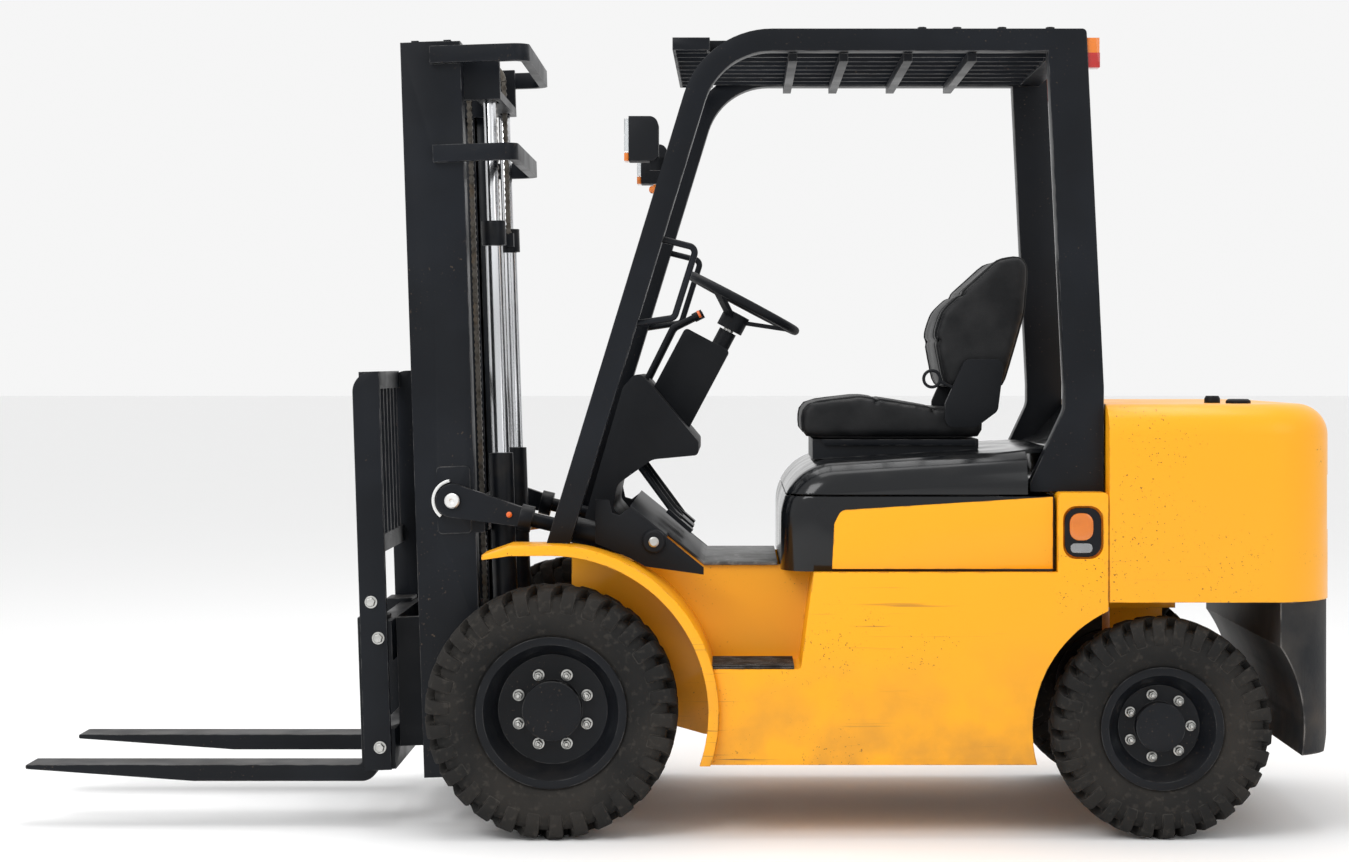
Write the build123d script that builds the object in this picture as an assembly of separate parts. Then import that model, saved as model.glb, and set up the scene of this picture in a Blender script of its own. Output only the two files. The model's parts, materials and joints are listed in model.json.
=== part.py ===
from build123d import *
import math
import os

# Counterbalance forklift truck with a two-stage mast, in millimetres.
# +X points forward along the forks, +Y to the truck's left and +Z up. Every piece is laid out from the
# front axle, with Z from the floor, and the whole truck is moved last so that the origin is under its middle.

# Stance
WHEELBASE = 1640
FRONT_TRACK = 976
REAR_TRACK = 980
GAP = 6
FIT = 0.3

# Front tyres and wheels
FRONT_TYRE_R = 340
FRONT_TYRE_W = 184
FRONT_CROWN_W = 150
FRONT_BEAD_R = 190
FRONT_BEAD_W = 116
FRONT_HUB_R = 80

# Rear tyres and wheels
REAR_TYRE_R = 296
REAR_TYRE_W = 154
REAR_CROWN_W = 124
REAR_BEAD_R = 152
REAR_BEAD_W = 96
REAR_HUB_R = 66

# Rims
RIM_FLANGE_H = 13
RIM_FLANGE_T = 8
RIM_WALL = 14
DISC_T = 15
SHOULDER_DROP = 20
LUGS_A_SIDE = 16
TYRE_SIDES = 2 * LUGS_A_SIDE
LUG_DEPTH = 24
LUG_SIDE = 8
LUG_DROP = 66
SPINDLE_R = 34

# Axles and steering
AXLE_TUBE_R = 60
DIFFERENTIAL_R = 128
DIFFERENTIAL_W = 240
KINGPIN_OFFSET = 142
KINGPIN_R = 20
KNUCKLE_H = 76
KNUCKLE_R = 42
YOKE_T = 26
BEAM_DEPTH = 96
BEAM_MID_DEPTH = 150

# Body frame
BODY_HALF_W = 556
SKIN = 12
INNER_WALL_Y = 300
BODY_BOTTOM_Z = 200
SEAM_Z = 717
STEP_Z = 457
STEP_REAR_X = -670
STEP_WALL_RUN = 35
DECK_Z = 768
DECK_FRONT_X = -40
FRONT_ARCH_R = 450
REAR_SKIN_ARCH_R = 350
REAR_ARCH_R = 392
BODY_REAR_X = -1493
SHOULDER_X = -1358
SHOULDER_Z = 930
FRAME_WALL = 12
FENDER_T = 13
FENDER_LIP_H = 28
FENDER_LIP_T = 9
FENDER_INNER_Y = 425
FENDER_TIP_X = 184
FENDER_TIP_DROP = 26
FENDER_FLAT_X = 110
FENDER_JOIN_X = -215

# Floor and toe board
FLOOR_T = 10
TOE_FRONT_X = -207
TOE_FRONT_Z = 890
TOE_REAR_X = -408

# Counterweight and bumper
REAR_X = -2120
WEIGHT_TOP_Z = 1166
WEIGHT_BOTTOM_Z = 636
WEIGHT_CORNER_R = 200
WEIGHT_TOP_R = 85
NOTCH_LOW_Z = 822
NOTCH_HIGH_Z = 972
NOTCH_DEPTH = 55
BUMPER_BOTTOM_Z = 222
BUMPER_FRONT_X = -1955
BUMPER_ARCH_R = 384
BUMPER_CHAMFER = 52
RADIATOR_HALF_W = 320
RADIATOR_HIGH_Z = 1080
RADIATOR_REAR_X = -1990
GRILLE_HALF_W = 250
GRILLE_SLATS = 6
GRILLE_SLAT_T = 8
LUG_BORE_R = 13
LUG_W = 30
LUG_H = 74

# Overhead guard
GUARD_OUTER_Y = 484
TUBE = 60
GUARD_TOP_Z = 2182
PILLAR_FOOT_X = -15
PILLAR_TOP_X = -431
REAR_POST_TOP_X = -1391
REAR_POST_SEAM_X = -1438
REAR_POST_SEAM_Z = 1212
REAR_POST_W = 106
LEG_FOOT_FRONT_X = -1292
LEG_FOOT_REAR_X = -1490
GUARD_BEND_R = 220
ROOF_FRONT_X = -324
ROOF_SLATS = 9
ROOF_SLAT_T = 8
ROOF_SLAT_H = 34
CROSS_BARS_X = (-790, -965, -1140)
GRAB_BAR_R = 9
BAR_SIDES = 12

# Cowl, column and controls
COWL_HALF_W = 262
COWL_HEIGHT = 490
COWL_TOP_RUN = 170
COWL_BROW_DROP = 50
COWL_FOOT_RUN = 130
COWL_HEEL_RUN = 150
COWL_HEEL_H = 48
COWL_WAIST_RUN = 106
COWL_WAIST_LOW = 106
COWL_WAIST_HIGH = 170
COWL_NOSE_RUN = 339
COWL_NOSE_LOW = 252
COWL_NOSE_H = 38
PEDAL_PIVOT_X = -216
PEDAL_PIVOT_Z = 998
STEERING_X = -516
STEERING_Z = 1450
STEERING_R = 170
STEERING_RIM_R = 13
STEERING_RIM_SIDES = 12
STEERING_DISH = 60
STEERING_SLOPE = 28
COLUMN_R = 26
COLUMN_LENGTH = 440
SHROUD_HIGH = 140
SHROUD_LOW = 440
SHROUD_FRONT = 112
LEVER_R = 7
KNOB_R = 10
LEVER_FOOT_X = DECK_FRONT_X - 190
LEVER_FOOT_Z = DECK_Z + 440

# Hood, seat and engine
HOOD_FRONT_X = -617
HOOD_REAR_X = -1352
HOOD_HALF_W = 530
HOOD_FRONT_TOP_Z = 1000
HOOD_REAR_TOP_Z = 1045
HOOD_WALL = 12
HOOD_FRONT_R = 150
HOOD_EDGE_R = 90
HOOD_SPLIT_Z = 924
HOOD_SEAM = 4
PANEL_T = 10
SEAT_HALF_W = 240
CUSHION_LOW_Z = 1064
CUSHION_HIGH_Z = 1188
CUSHION_FRONT_X = -675
CUSHION_REAR_X = -1190
BACK_HEIGHT = 397
BACK_LEAN = 118
BACK_FOOT_FRONT = 112
BACK_FOOT_REAR = 54
BACK_LUMBAR = 140
BACK_LUMBAR_H = 170
BACK_SHOULDER_H = 235
BACK_TOP_T = 72
COVER_FRONT = 110
COVER_DROP = 90
COVER_RISE = 100

# Mast, laid out upright from the front axle and then leaned forward
LEAN = 1.88
MAST_FRONT_U = 370
RAIL_DEPTH = 165
RAIL_FLANGE_T = 22
RAIL_WEB_T = 16
RAIL_FLANGE_W = 70
MAST_OUTER_Y = 350
MAST_LOW_W = -194
MAST_HIGH_W = 1833
INNER_LOW_W = -172
INNER_HIGH_W = 1840
INNER_FLANGE_T = 20
INNER_WEB_T = 14
INNER_W = 62
TRUNNION_R = 92
TRUNNION_W = 44
TOP_TIE_REAR_U = 15
TOP_TIE_W = MAST_HIGH_W - 61
SECOND_TIE_REAR_U = 55
SECOND_TIE_W = 1500
TIE_H = 47
TIE_T = 24
LIFT_CYLINDER_U = 140
LIFT_CYLINDER_Y = 232
LIFT_BARREL_R = 34
LIFT_TUBE_R = 24
LIFT_ROD_R = 17
LIFT_GLAND_W = 1340
LIFT_BASE_W = -150
LIFT_BARREL_W = 690
SHEAVE_R = 45
SHEAVE_U = 185
SHEAVE_Y = 176
SHEAVE_W = INNER_HIGH_W - 65
CHAIN_W = 28
CHAIN_T = 14
CHAIN_PITCH = 110
CHAIN_WAIST = 8

# Carriage, backrest and forks
CARRIAGE_BAR_T = 50
CARRIAGE_BAR_U = 445
CARRIAGE_BAR_H = 110
CARRIAGE_HALF_W = 360
CARRIAGE_LOW_W = -165
CARRIAGE_HEIGHT = 407
ROLLER_R = 29
FORK_T = 45
FORK_WIDTH = 122
FORK_Y = 290
FORK_LENGTH = 928
FORK_TOP_Z = 170
FORK_TIP_T = 12
BACKREST_HIGH_W = 930
BACKREST_DEPTH = 74
BACKREST_SETBACK = 40
BACKREST_RAIL_H = 50
BACKREST_POST_T = 18
BACKREST_BARS = 9
BACKREST_BAR_T = 14

# Tilt cylinders
TILT_PIN_X = 281
TILT_PIN_Z = 900
TILT_BASE_X = -260
TILT_BASE_Z = 770
TILT_Y = 380
TILT_BARREL_R = 36
TILT_BARREL_LENGTH = 215
TILT_ARM_LENGTH = 190
TILT_COLLAR_LENGTH = 35
TILT_ROD_LENGTH = 405
TILT_ROD_R = 20
TILT_EYE_R = 46
TILT_EYE_W = 30
TILT_PIN_R = 14
TILT_PIN_PLAY = 4

FRONT_AXLE = (0, 0, FRONT_TYRE_R)
REAR_AXLE_X = -WHEELBASE
REAR_AXLE_Z = REAR_TYRE_R
FRONT_WHEEL_Y = FRONT_TRACK / 2
REAR_WHEEL_Y = REAR_TRACK / 2
KINGPIN_Y = REAR_WHEEL_Y - KINGPIN_OFFSET
GUARD_INNER_Y = GUARD_OUTER_Y - TUBE
LEAN_SIN = math.sin(math.radians(LEAN))
LEAN_COS = math.cos(math.radians(LEAN))


def face_of(corners):
    """Closed face through corners given as (across, up) or (across, up, corner radius)."""
    points = [corner[:2] for corner in corners]
    radii = [corner[2] if len(corner) > 2 else 0 for corner in corners]
    return make_face(FilletPolyline(*points, radius=radii, close=True))


def slab(face, low_y, high_y):
    """Extrude a face drawn in X and Z from one Y to a higher Y."""
    return extrude(Plane.XZ.offset(-high_y) * face, amount=high_y - low_y)


def plan(face, low_z, high_z):
    """Extrude a face drawn in X and Y from one Z to a higher Z."""
    return extrude(Pos(0, 0, low_z) * face, amount=high_z - low_z)


def block(x_range, y_range, z_range):
    """Box from its lowest and highest coordinate on each axis."""
    sizes = [high - low for low, high in (x_range, y_range, z_range)]
    centre = [(high + low) / 2 for low, high in (x_range, y_range, z_range)]
    return Pos(*centre) * Box(*sizes)


def bar_y(x, z, radius, low_y, high_y):
    """Round bar along Y."""
    return slab(Pos(x, z) * Circle(radius), low_y, high_y)


def rod_between(start, end, radius):
    """Round bar from one point to another."""
    axis = Vector(end) - Vector(start)
    return extrude(Plane(origin=start, z_dir=axis) * Circle(radius), amount=axis.length)


def tube_along(points, radius, bend):
    """Many-sided bar along straight runs joined by bends."""
    path = FilletPolyline(*points, radius=bend)
    section = Plane(origin=path @ 0, z_dir=path % 0) * RegularPolygon(radius, BAR_SIDES)
    return sweep(section, path=path)


def both_sides(piece):
    """The piece and its mirror image across the truck's middle plane."""
    return piece + mirror(piece, about=Plane.XZ)


def wheel_of_revolution(face):
    """Turn a face drawn as (along Y, radius) about the Y axis."""
    turned = Plane(origin=(0, 0, 0), x_dir=(0, 1, 0), z_dir=(1, 0, 0)) * face
    return revolve(turned, axis=Axis.Y)


def mast_frame():
    """Place of the upright mast: its foot turns about the front axle and leans forward."""
    return Pos(*FRONT_AXLE) * Rot(0, LEAN, 0)


def on_mast(u, w):
    """X and Z on the truck of a point of the mast."""
    return u * LEAN_COS + w * LEAN_SIN, FRONT_TYRE_R + w * LEAN_COS - u * LEAN_SIN


def on_upright(x, z):
    """Place on the upright mast of a point of the truck."""
    rise = z - FRONT_TYRE_R
    return x * LEAN_COS - rise * LEAN_SIN, rise * LEAN_COS + x * LEAN_SIN


def ring(radius, y):
    """Flat-sided outline of a tyre at a place across it."""
    return Plane.XZ.offset(-y) * RegularPolygon(radius, TYRE_SIDES, major_radius=False)


def tyre_body(radius, half, crown, bead_r, bead_w):
    """Tyre without lugs about the Y axis, out to a radius and half a width."""
    corner = math.cos(math.pi / TYRE_SIDES)
    high_r = radius * corner
    side_r = (radius - SHOULDER_DROP) * corner
    bulge_r = bead_r + (radius - bead_r) / 3
    seat = bead_w / 2 - FIT
    body = loft([ring(side_r, -half), ring(high_r, -crown / 2)], ruled=True)
    body += loft([ring(high_r, -crown / 2), ring(high_r, crown / 2)], ruled=True)
    body += loft([ring(high_r, crown / 2), ring(side_r, half)], ruled=True)
    well = loft([ring(bead_r + RIM_FLANGE_H + FIT, seat), ring(bulge_r, half + GAP)], ruled=True)
    bore = loft([ring(bead_r + FIT, -half), ring(bead_r + FIT, half)], ruled=True)
    return body - bore - both_sides(well)


def lug_ring(radius, half, first):
    """Bars across the left half of a tyre, on every second side from the first."""
    side = 2 * math.pi / TYRE_SIDES
    bars = Sketch()
    for index in range(first, TYRE_SIDES, 2):
        ends = [(reach * math.cos(angle), reach * math.sin(angle))
                for angle in (index * side, (index + 1) * side) for reach in (radius - LUG_DROP, radius + LUG_DROP)]
        bars += make_face(Polyline(ends[0], ends[1], ends[3], ends[2], close=True))
    return slab(bars, -LUG_SIDE, half)


def tyre(radius, width, crown, bead_r, bead_w):
    """Tyre with a ring of lugs over each shoulder, the right one turned by half a pitch."""
    half = width / 2
    right = mirror(lug_ring(radius, half, 1), about=Plane.XZ)
    lugs = (lug_ring(radius, half, 0) + right) & tyre_body(radius, half, crown, bead_r, bead_w)
    return tyre_body(radius - LUG_DEPTH, half - LUG_SIDE, crown - 2 * LUG_SIDE, bead_r, bead_w) + lugs


def rim_reach(bead_w):
    """How far the back of a wheel's hub stands inside the middle of its tyre."""
    return bead_w * 2 / 5


def bore_reach(bead_w):
    """How far the end of a wheel's spindle bore stands inside the middle of its tyre."""
    return bead_w / 8


def wheel(bead_r, bead_w, hub_r):
    """Dished wheel about the Y axis, with its outer side towards +Y and a blind bore for the spindle."""
    half = bead_w / 2
    edge = half + RIM_FLANGE_T
    flange_r = bead_r + RIM_FLANGE_H
    inner_r = bead_r - RIM_WALL
    hub_back = -rim_reach(bead_w)
    bore_end = -bore_reach(bead_w)
    disc_back = bore_end - DISC_T
    bore_r = SPINDLE_R + FIT
    return wheel_of_revolution(face_of([
        (hub_back, bore_r), (hub_back, hub_r), (disc_back, hub_r), (disc_back, inner_r), (-half, inner_r),
        (-edge, bead_r), (-edge, flange_r), (-half, flange_r), (-half, bead_r),
        (half, bead_r), (half, flange_r), (edge, flange_r), (edge, bead_r - RIM_FLANGE_T),
        (half / 2, inner_r - RIM_WALL), (bore_end, inner_r - 2 * RIM_WALL), (bore_end, hub_r),
        (half / 2, hub_r), (half / 2 + RIM_FLANGE_T, 0), (bore_end, 0), (bore_end, bore_r),
    ]))


def wheel_pieces(pieces, name, x, y, z, tyre_solid, wheel_solid):
    """Left and right tyre and wheel of one axle."""
    for side, sign in (("left", 1), ("right", -1)):
        for kind, solid in (("tyre", tyre_solid), ("wheel", wheel_solid)):
            turned = solid if sign > 0 else mirror(solid, about=Plane.XZ)
            pieces[f"{name}_{kind}_{side}"] = Pos(x, sign * y, z) * turned


def front_axle():
    """Drive axle: a tube with a differential bulge and a spindle for each wheel."""
    tube_end = FRONT_WHEEL_Y - rim_reach(FRONT_BEAD_W) - GAP
    spindle_end = FRONT_WHEEL_Y - bore_reach(FRONT_BEAD_W) - GAP
    half_bulge = DIFFERENTIAL_W / 2
    face = face_of([
        (0, 0), (0, DIFFERENTIAL_R), (half_bulge / 2, DIFFERENTIAL_R), (half_bulge, AXLE_TUBE_R),
        (tube_end, AXLE_TUBE_R), (tube_end, SPINDLE_R), (spindle_end, SPINDLE_R), (spindle_end, 0),
    ])
    return Pos(*FRONT_AXLE) * both_sides(wheel_of_revolution(face))


def yoke_height():
    """Height of a yoke plate's near face above the middle of the steer axle."""
    return KNUCKLE_H / 2 + GAP


def steer_axle():
    """Steer axle beam with a forked end about each knuckle and the kingpins through them."""
    end_y = KINGPIN_Y - KNUCKLE_R - GAP
    root_y = end_y - KNUCKLE_H
    half_h = yoke_height() + YOKE_T / 2
    beam = plan(face_of([
        (BEAM_DEPTH / 2, end_y), (BEAM_MID_DEPTH / 2, end_y / 2), (BEAM_MID_DEPTH / 2, -end_y / 2),
        (BEAM_DEPTH / 2, -end_y), (-BEAM_DEPTH / 2, -end_y), (-BEAM_MID_DEPTH / 2, -end_y / 2),
        (-BEAM_MID_DEPTH / 2, end_y / 2), (-BEAM_DEPTH / 2, end_y),
    ]), -half_h, half_h)
    yoke_face = make_hull([Pos(0, root_y) * Circle(BEAM_DEPTH / 2).edge(),
                           Pos(0, KINGPIN_Y) * Circle(BEAM_DEPTH / 2 - 2).edge()])
    low = yoke_height()
    plates = plan(yoke_face, low, low + YOKE_T) + plan(yoke_face, -low - YOKE_T, -low)
    pin = plan(Pos(0, KINGPIN_Y) * Circle(KINGPIN_R), -low - YOKE_T, low + YOKE_T)
    return Pos(REAR_AXLE_X, 0, REAR_AXLE_Z) * (beam + both_sides(plates + pin))


def knuckle():
    """Left steer knuckle: a boss on the kingpin with the wheel's spindle."""
    boss = plan(Pos(0, KINGPIN_Y) * Circle(KNUCKLE_R), -KNUCKLE_H / 2, KNUCKLE_H / 2)
    hub_back = REAR_WHEEL_Y - rim_reach(REAR_BEAD_W) - GAP
    collar = bar_y(0, 0, (SPINDLE_R + KNUCKLE_H / 2) / 2, KINGPIN_Y, hub_back)
    spindle = bar_y(0, 0, SPINDLE_R, hub_back, REAR_WHEEL_Y - bore_reach(REAR_BEAD_W) - GAP)
    bore = plan(Pos(0, KINGPIN_Y) * Circle(KINGPIN_R + FIT), -KNUCKLE_H, KNUCKLE_H)
    return Pos(REAR_AXLE_X, 0, REAR_AXLE_Z) * (boss + collar + spindle - bore)


def arch(x, z, radius, low_y, high_y):
    """Round wheel arch to cut from a body side."""
    return bar_y(x, z, radius, low_y, high_y)


def side_lamp_face(grow):
    """Rounded outline of the lamp pocket in the rear of each body side."""
    width = (SHOULDER_X - BODY_REAR_X) * 4 / 5
    height = (SHOULDER_Z - SEAM_Z) * 2 / 3
    middle = Pos((SHOULDER_X + BODY_REAR_X) / 2, (SEAM_Z + SHOULDER_Z) / 2)
    return middle * RectangleRounded(width + grow, height + grow, width / 3)


def body_side():
    """Left body side: tank, outer skin, step recess, rear shoulder and the wheel arches."""
    face = face_of([
        (DECK_FRONT_X, BODY_BOTTOM_Z), (DECK_FRONT_X, SEAM_Z), (SHOULDER_X, SEAM_Z),
        (SHOULDER_X, SHOULDER_Z, SKIN), (BODY_REAR_X, SHOULDER_Z, SKIN), (BODY_REAR_X, BODY_BOTTOM_Z),
    ])
    skin_y = BODY_HALF_W - SKIN
    tank = slab(face, INNER_WALL_Y, skin_y) - arch(REAR_AXLE_X, REAR_AXLE_Z, REAR_ARCH_R, 0, skin_y)
    skin = slab(face, skin_y, BODY_HALF_W)
    skin -= arch(REAR_AXLE_X, REAR_AXLE_Z, REAR_SKIN_ARCH_R, 0, BODY_HALF_W + SKIN)
    step = slab(face_of([
        (DECK_FRONT_X, STEP_Z), (STEP_REAR_X, STEP_Z, SKIN), (STEP_REAR_X - STEP_WALL_RUN, SEAM_Z + GAP),
        (DECK_FRONT_X, SEAM_Z + GAP),
    ]), INNER_WALL_Y, BODY_HALF_W + SKIN)
    crease_z = BODY_BOTTOM_Z + (STEP_Z - BODY_BOTTOM_Z) * 2 / 5
    tuck = extrude(Plane.YZ.offset(BODY_REAR_X) * face_of([
        (BODY_HALF_W, crease_z), (BODY_HALF_W + SKIN, crease_z), (BODY_HALF_W + SKIN, 0),
        (BODY_HALF_W - 2 * SKIN, 0),
    ]), amount=-BODY_REAR_X)
    lamp = slab(side_lamp_face(0), BODY_HALF_W - 2 * SKIN, BODY_HALF_W + SKIN)
    front = arch(0, FRONT_TYRE_R, FRONT_ARCH_R + FIT, 0, BODY_HALF_W + SKIN)
    return tank + skin - step - tuck - lamp - front


def frame_wall():
    """Left frame plate: it clamps the drive axle, carries the floor and ends ahead of the rear wheels."""
    rear_x = REAR_AXLE_X + REAR_ARCH_R
    low_z = BODY_BOTTOM_Z + 4 * SKIN
    face = face_of([
        (AXLE_TUBE_R + 3 * SKIN, FRONT_TYRE_R - 3 * SKIN), (AXLE_TUBE_R + 3 * SKIN, FRONT_TYRE_R + AXLE_TUBE_R),
        (DECK_FRONT_X, FRONT_TYRE_R + 4 * AXLE_TUBE_R), (DECK_FRONT_X, DECK_Z), (TOE_FRONT_X, DECK_Z),
        (TOE_FRONT_X, TOE_FRONT_Z - FLOOR_T), (TOE_REAR_X, SEAM_Z), (rear_x, SEAM_Z), (rear_x, low_z),
        (TOE_REAR_X, low_z), (TOE_FRONT_X, FRONT_TYRE_R - 3 * SKIN),
    ])
    wall = slab(face, INNER_WALL_Y - FRAME_WALL, INNER_WALL_Y)
    return wall - arch(0, FRONT_TYRE_R, AXLE_TUBE_R + FIT, 0, INNER_WALL_Y + SKIN)


def tilt_anchor():
    """Left boss and pin on the frame plate for the foot of a tilt cylinder."""
    near_y = TILT_Y - TILT_BARREL_R - GAP
    far_y = TILT_Y + TILT_EYE_W / 2 + GAP
    root_y = INNER_WALL_Y - FRAME_WALL
    boss = bar_y(TILT_BASE_X, TILT_BASE_Z, 2 * TILT_PIN_R, root_y, near_y)
    return boss + bar_y(TILT_BASE_X, TILT_BASE_Z, TILT_PIN_R, root_y, far_y)


def body_frame():
    """Yellow body: both sides, the frame plates, cross members and the tail under the counterweight."""
    rear_x = REAR_AXLE_X + REAR_ARCH_R
    wall_y = INNER_WALL_Y
    tail_low_z = REAR_AXLE_Z + REAR_TYRE_R + GAP
    half_beam = BEAM_MID_DEPTH / 2
    beam_top = REAR_AXLE_Z + yoke_height() + YOKE_T / 2
    deck = block((TOE_FRONT_X, DECK_FRONT_X), (-wall_y, wall_y), (DECK_Z - 2 * FRAME_WALL, DECK_Z))
    belly = block((STEP_REAR_X - 5 * SKIN, STEP_REAR_X), (-wall_y, wall_y),
                  (BODY_BOTTOM_Z + 4 * SKIN, BODY_BOTTOM_Z + 8 * SKIN))
    bulkhead = block((rear_x, rear_x + FRAME_WALL), (-wall_y, wall_y), (STEP_Z, SEAM_Z))
    tail = block((REAR_AXLE_X - half_beam, rear_x + FRAME_WALL), (-wall_y, wall_y),
                 (tail_low_z, WEIGHT_BOTTOM_Z))
    saddle = block((REAR_AXLE_X - half_beam, REAR_AXLE_X + half_beam), (-half_beam, half_beam),
                   (beam_top, tail_low_z))
    sides = both_sides(body_side() + frame_wall() + tilt_anchor())
    return sides + deck + belly + bulkhead + tail + saddle


def front_fender():
    """Left front fender: a plate round the tyre with a level nose and a turned-down lip."""
    top_z = FRONT_TYRE_R + FRONT_ARCH_R
    outer_y = FRONT_WHEEL_Y + FRONT_TYRE_W / 2 - GAP
    reach = 2 * FRONT_ARCH_R

    def band(depth, low_x, high_x):
        ring = Circle(FRONT_ARCH_R) - Circle(FRONT_ARCH_R - depth)
        window = Pos((low_x + high_x) / 2, BODY_BOTTOM_Z - FRONT_TYRE_R + reach / 2)
        return Pos(0, FRONT_TYRE_R) * (ring & window * Rectangle(high_x - low_x, reach))

    def nose(depth):
        return face_of([
            (0, top_z), (0, top_z - depth), (FENDER_FLAT_X, top_z - depth),
            (FENDER_TIP_X, top_z - FENDER_T - FENDER_TIP_DROP), (FENDER_TIP_X, top_z - FENDER_TIP_DROP),
            (FENDER_FLAT_X, top_z),
        ])

    low_x = -FRONT_ARCH_R
    rear = slab(band(FENDER_T, low_x, FENDER_JOIN_X), INNER_WALL_Y, outer_y)
    front = slab(band(FENDER_T, FENDER_JOIN_X, 0), FENDER_INNER_Y, outer_y)
    lip_y = outer_y - FENDER_LIP_T
    lip = slab(band(FENDER_LIP_H, low_x, 0), lip_y, outer_y) + slab(nose(FENDER_LIP_H), lip_y, outer_y)
    return rear + front + slab(nose(FENDER_T), FENDER_INNER_Y, outer_y) + lip


def floor_plate():
    """Tread plate on the floor, with a sloped toe board that covers the tilt cylinders."""
    rear_x = HOOD_FRONT_X + GAP
    half_w = INNER_WALL_Y + SKIN
    top_z = SEAM_Z + FLOOR_T
    wing_x = (TOE_FRONT_X + TOE_REAR_X) / 2
    wing_z = (TOE_FRONT_Z + top_z) / 2
    slope = slab(face_of([
        (TOE_FRONT_X, TOE_FRONT_Z), (TOE_REAR_X, top_z), (rear_x, top_z), (rear_x, SEAM_Z),
        (TOE_REAR_X, SEAM_Z), (TOE_FRONT_X, TOE_FRONT_Z - FLOOR_T),
    ]), -half_w, half_w)
    wing = slab(face_of([
        (TOE_FRONT_X, TOE_FRONT_Z), (wing_x, wing_z), (wing_x, wing_z - FLOOR_T),
        (TOE_FRONT_X, TOE_FRONT_Z - FLOOR_T),
    ]), half_w, FENDER_INNER_Y - FLOOR_T)
    return slope + both_sides(wing)


def rear_plan(inset):
    """Plan outline of the counterweight and the bumper, round at the rear corners."""
    half_w = BODY_HALF_W - inset
    return face_of([
        (BODY_REAR_X - GAP / 2, -half_w), (REAR_X + inset, -half_w, WEIGHT_CORNER_R),
        (REAR_X + inset, half_w, WEIGHT_CORNER_R), (BODY_REAR_X - GAP / 2, half_w),
    ])


def tow_pocket():
    """Low and high corners of the pocket round the tow lug."""
    return (REAR_X, REAR_X + 3 * LUG_W), (-4 * LUG_W, 4 * LUG_W), (
        (WEIGHT_BOTTOM_Z + NOTCH_LOW_Z) / 2 - LUG_H, (WEIGHT_BOTTOM_Z + NOTCH_LOW_Z) / 2 + LUG_H)


def counterweight():
    """Cast counterweight: rounded, with the radiator bay, the rear notch and the tow pocket."""
    cast = plan(rear_plan(0), WEIGHT_BOTTOM_Z, WEIGHT_TOP_Z)
    rim = cast.faces().sort_by(Axis.Z)[-1].edges().filter_by(lambda e: e.center().X < BODY_REAR_X - 2 * GAP)
    cast = fillet(rim, WEIGHT_TOP_R)
    bay = block((RADIATOR_REAR_X, BODY_REAR_X), (-RADIATOR_HALF_W, RADIATOR_HALF_W),
                (WEIGHT_BOTTOM_Z + 5 * SKIN, RADIATOR_HIGH_Z))
    notch_half = BODY_HALF_W - WEIGHT_CORNER_R * 2 / 3
    notch = block((REAR_X - SKIN, REAR_X + NOTCH_DEPTH), (-notch_half, notch_half), (NOTCH_LOW_Z, NOTCH_HIGH_Z))
    duct = block((REAR_X, RADIATOR_REAR_X + SKIN), (-GRILLE_HALF_W, GRILLE_HALF_W),
                 (NOTCH_LOW_Z + SKIN, NOTCH_HIGH_Z - SKIN))
    return cast - bay - notch - duct - block(*tow_pocket())


def rear_bumper():
    """Dark casting under the counterweight, cut round the swept rear wheels."""
    low = plan(rear_plan(GAP / 2), BUMPER_BOTTOM_Z, WEIGHT_BOTTOM_Z)
    keep = block((REAR_X, BUMPER_FRONT_X), (-BODY_HALF_W, BODY_HALF_W), (BUMPER_BOTTOM_Z, WEIGHT_BOTTOM_Z))
    tuck = slab(face_of([
        (REAR_X - SKIN, BUMPER_BOTTOM_Z - SKIN), (REAR_X + BUMPER_CHAMFER / 2, BUMPER_BOTTOM_Z - SKIN),
        (REAR_X + BUMPER_CHAMFER / 2, BUMPER_BOTTOM_Z), (REAR_X - SKIN, BUMPER_BOTTOM_Z + 2 * BUMPER_CHAMFER),
    ]), -BODY_HALF_W, BODY_HALF_W)
    wheel_room = arch(REAR_AXLE_X, REAR_AXLE_Z, BUMPER_ARCH_R, -BODY_HALF_W, BODY_HALF_W)
    return (low & keep) - tuck - wheel_room


def radiator_grille():
    """Slats across the duct in the counterweight's notch."""
    low_z = NOTCH_LOW_Z + SKIN
    high_z = NOTCH_HIGH_Z - SKIN
    step = (high_z - low_z) / GRILLE_SLATS
    back_x = REAR_X + NOTCH_DEPTH
    grille = None
    for index in range(GRILLE_SLATS):
        middle = low_z + step * (index + 0.5)
        slat = block((back_x, back_x + 2 * SKIN), (-GRILLE_HALF_W, GRILLE_HALF_W),
                     (middle - GRILLE_SLAT_T / 2, middle + GRILLE_SLAT_T / 2))
        grille = slat if grille is None else grille + slat
    for y in (-GRILLE_HALF_W / 2, GRILLE_HALF_W / 2):
        grille += block((back_x + SKIN, back_x + 2 * SKIN), (y - SKIN / 2, y + SKIN / 2), (low_z, high_z))
    return grille


def tow_lug():
    """Lug with a cross bore in the tow pocket."""
    (rear_x, front_x), _, (low_z, high_z) = tow_pocket()
    middle_z = (low_z + high_z) / 2
    face = face_of([
        (front_x, middle_z - LUG_H / 2), (front_x, middle_z + LUG_H / 2),
        (rear_x + GAP, middle_z + LUG_H / 2, LUG_H / 3), (rear_x + GAP, middle_z - LUG_H / 2, LUG_H / 3),
    ])
    plate = slab(face, -LUG_W / 2, LUG_W / 2)
    return plate - bar_y(rear_x + GAP + LUG_H / 2, middle_z, LUG_BORE_R, -LUG_W, LUG_W)


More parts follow.
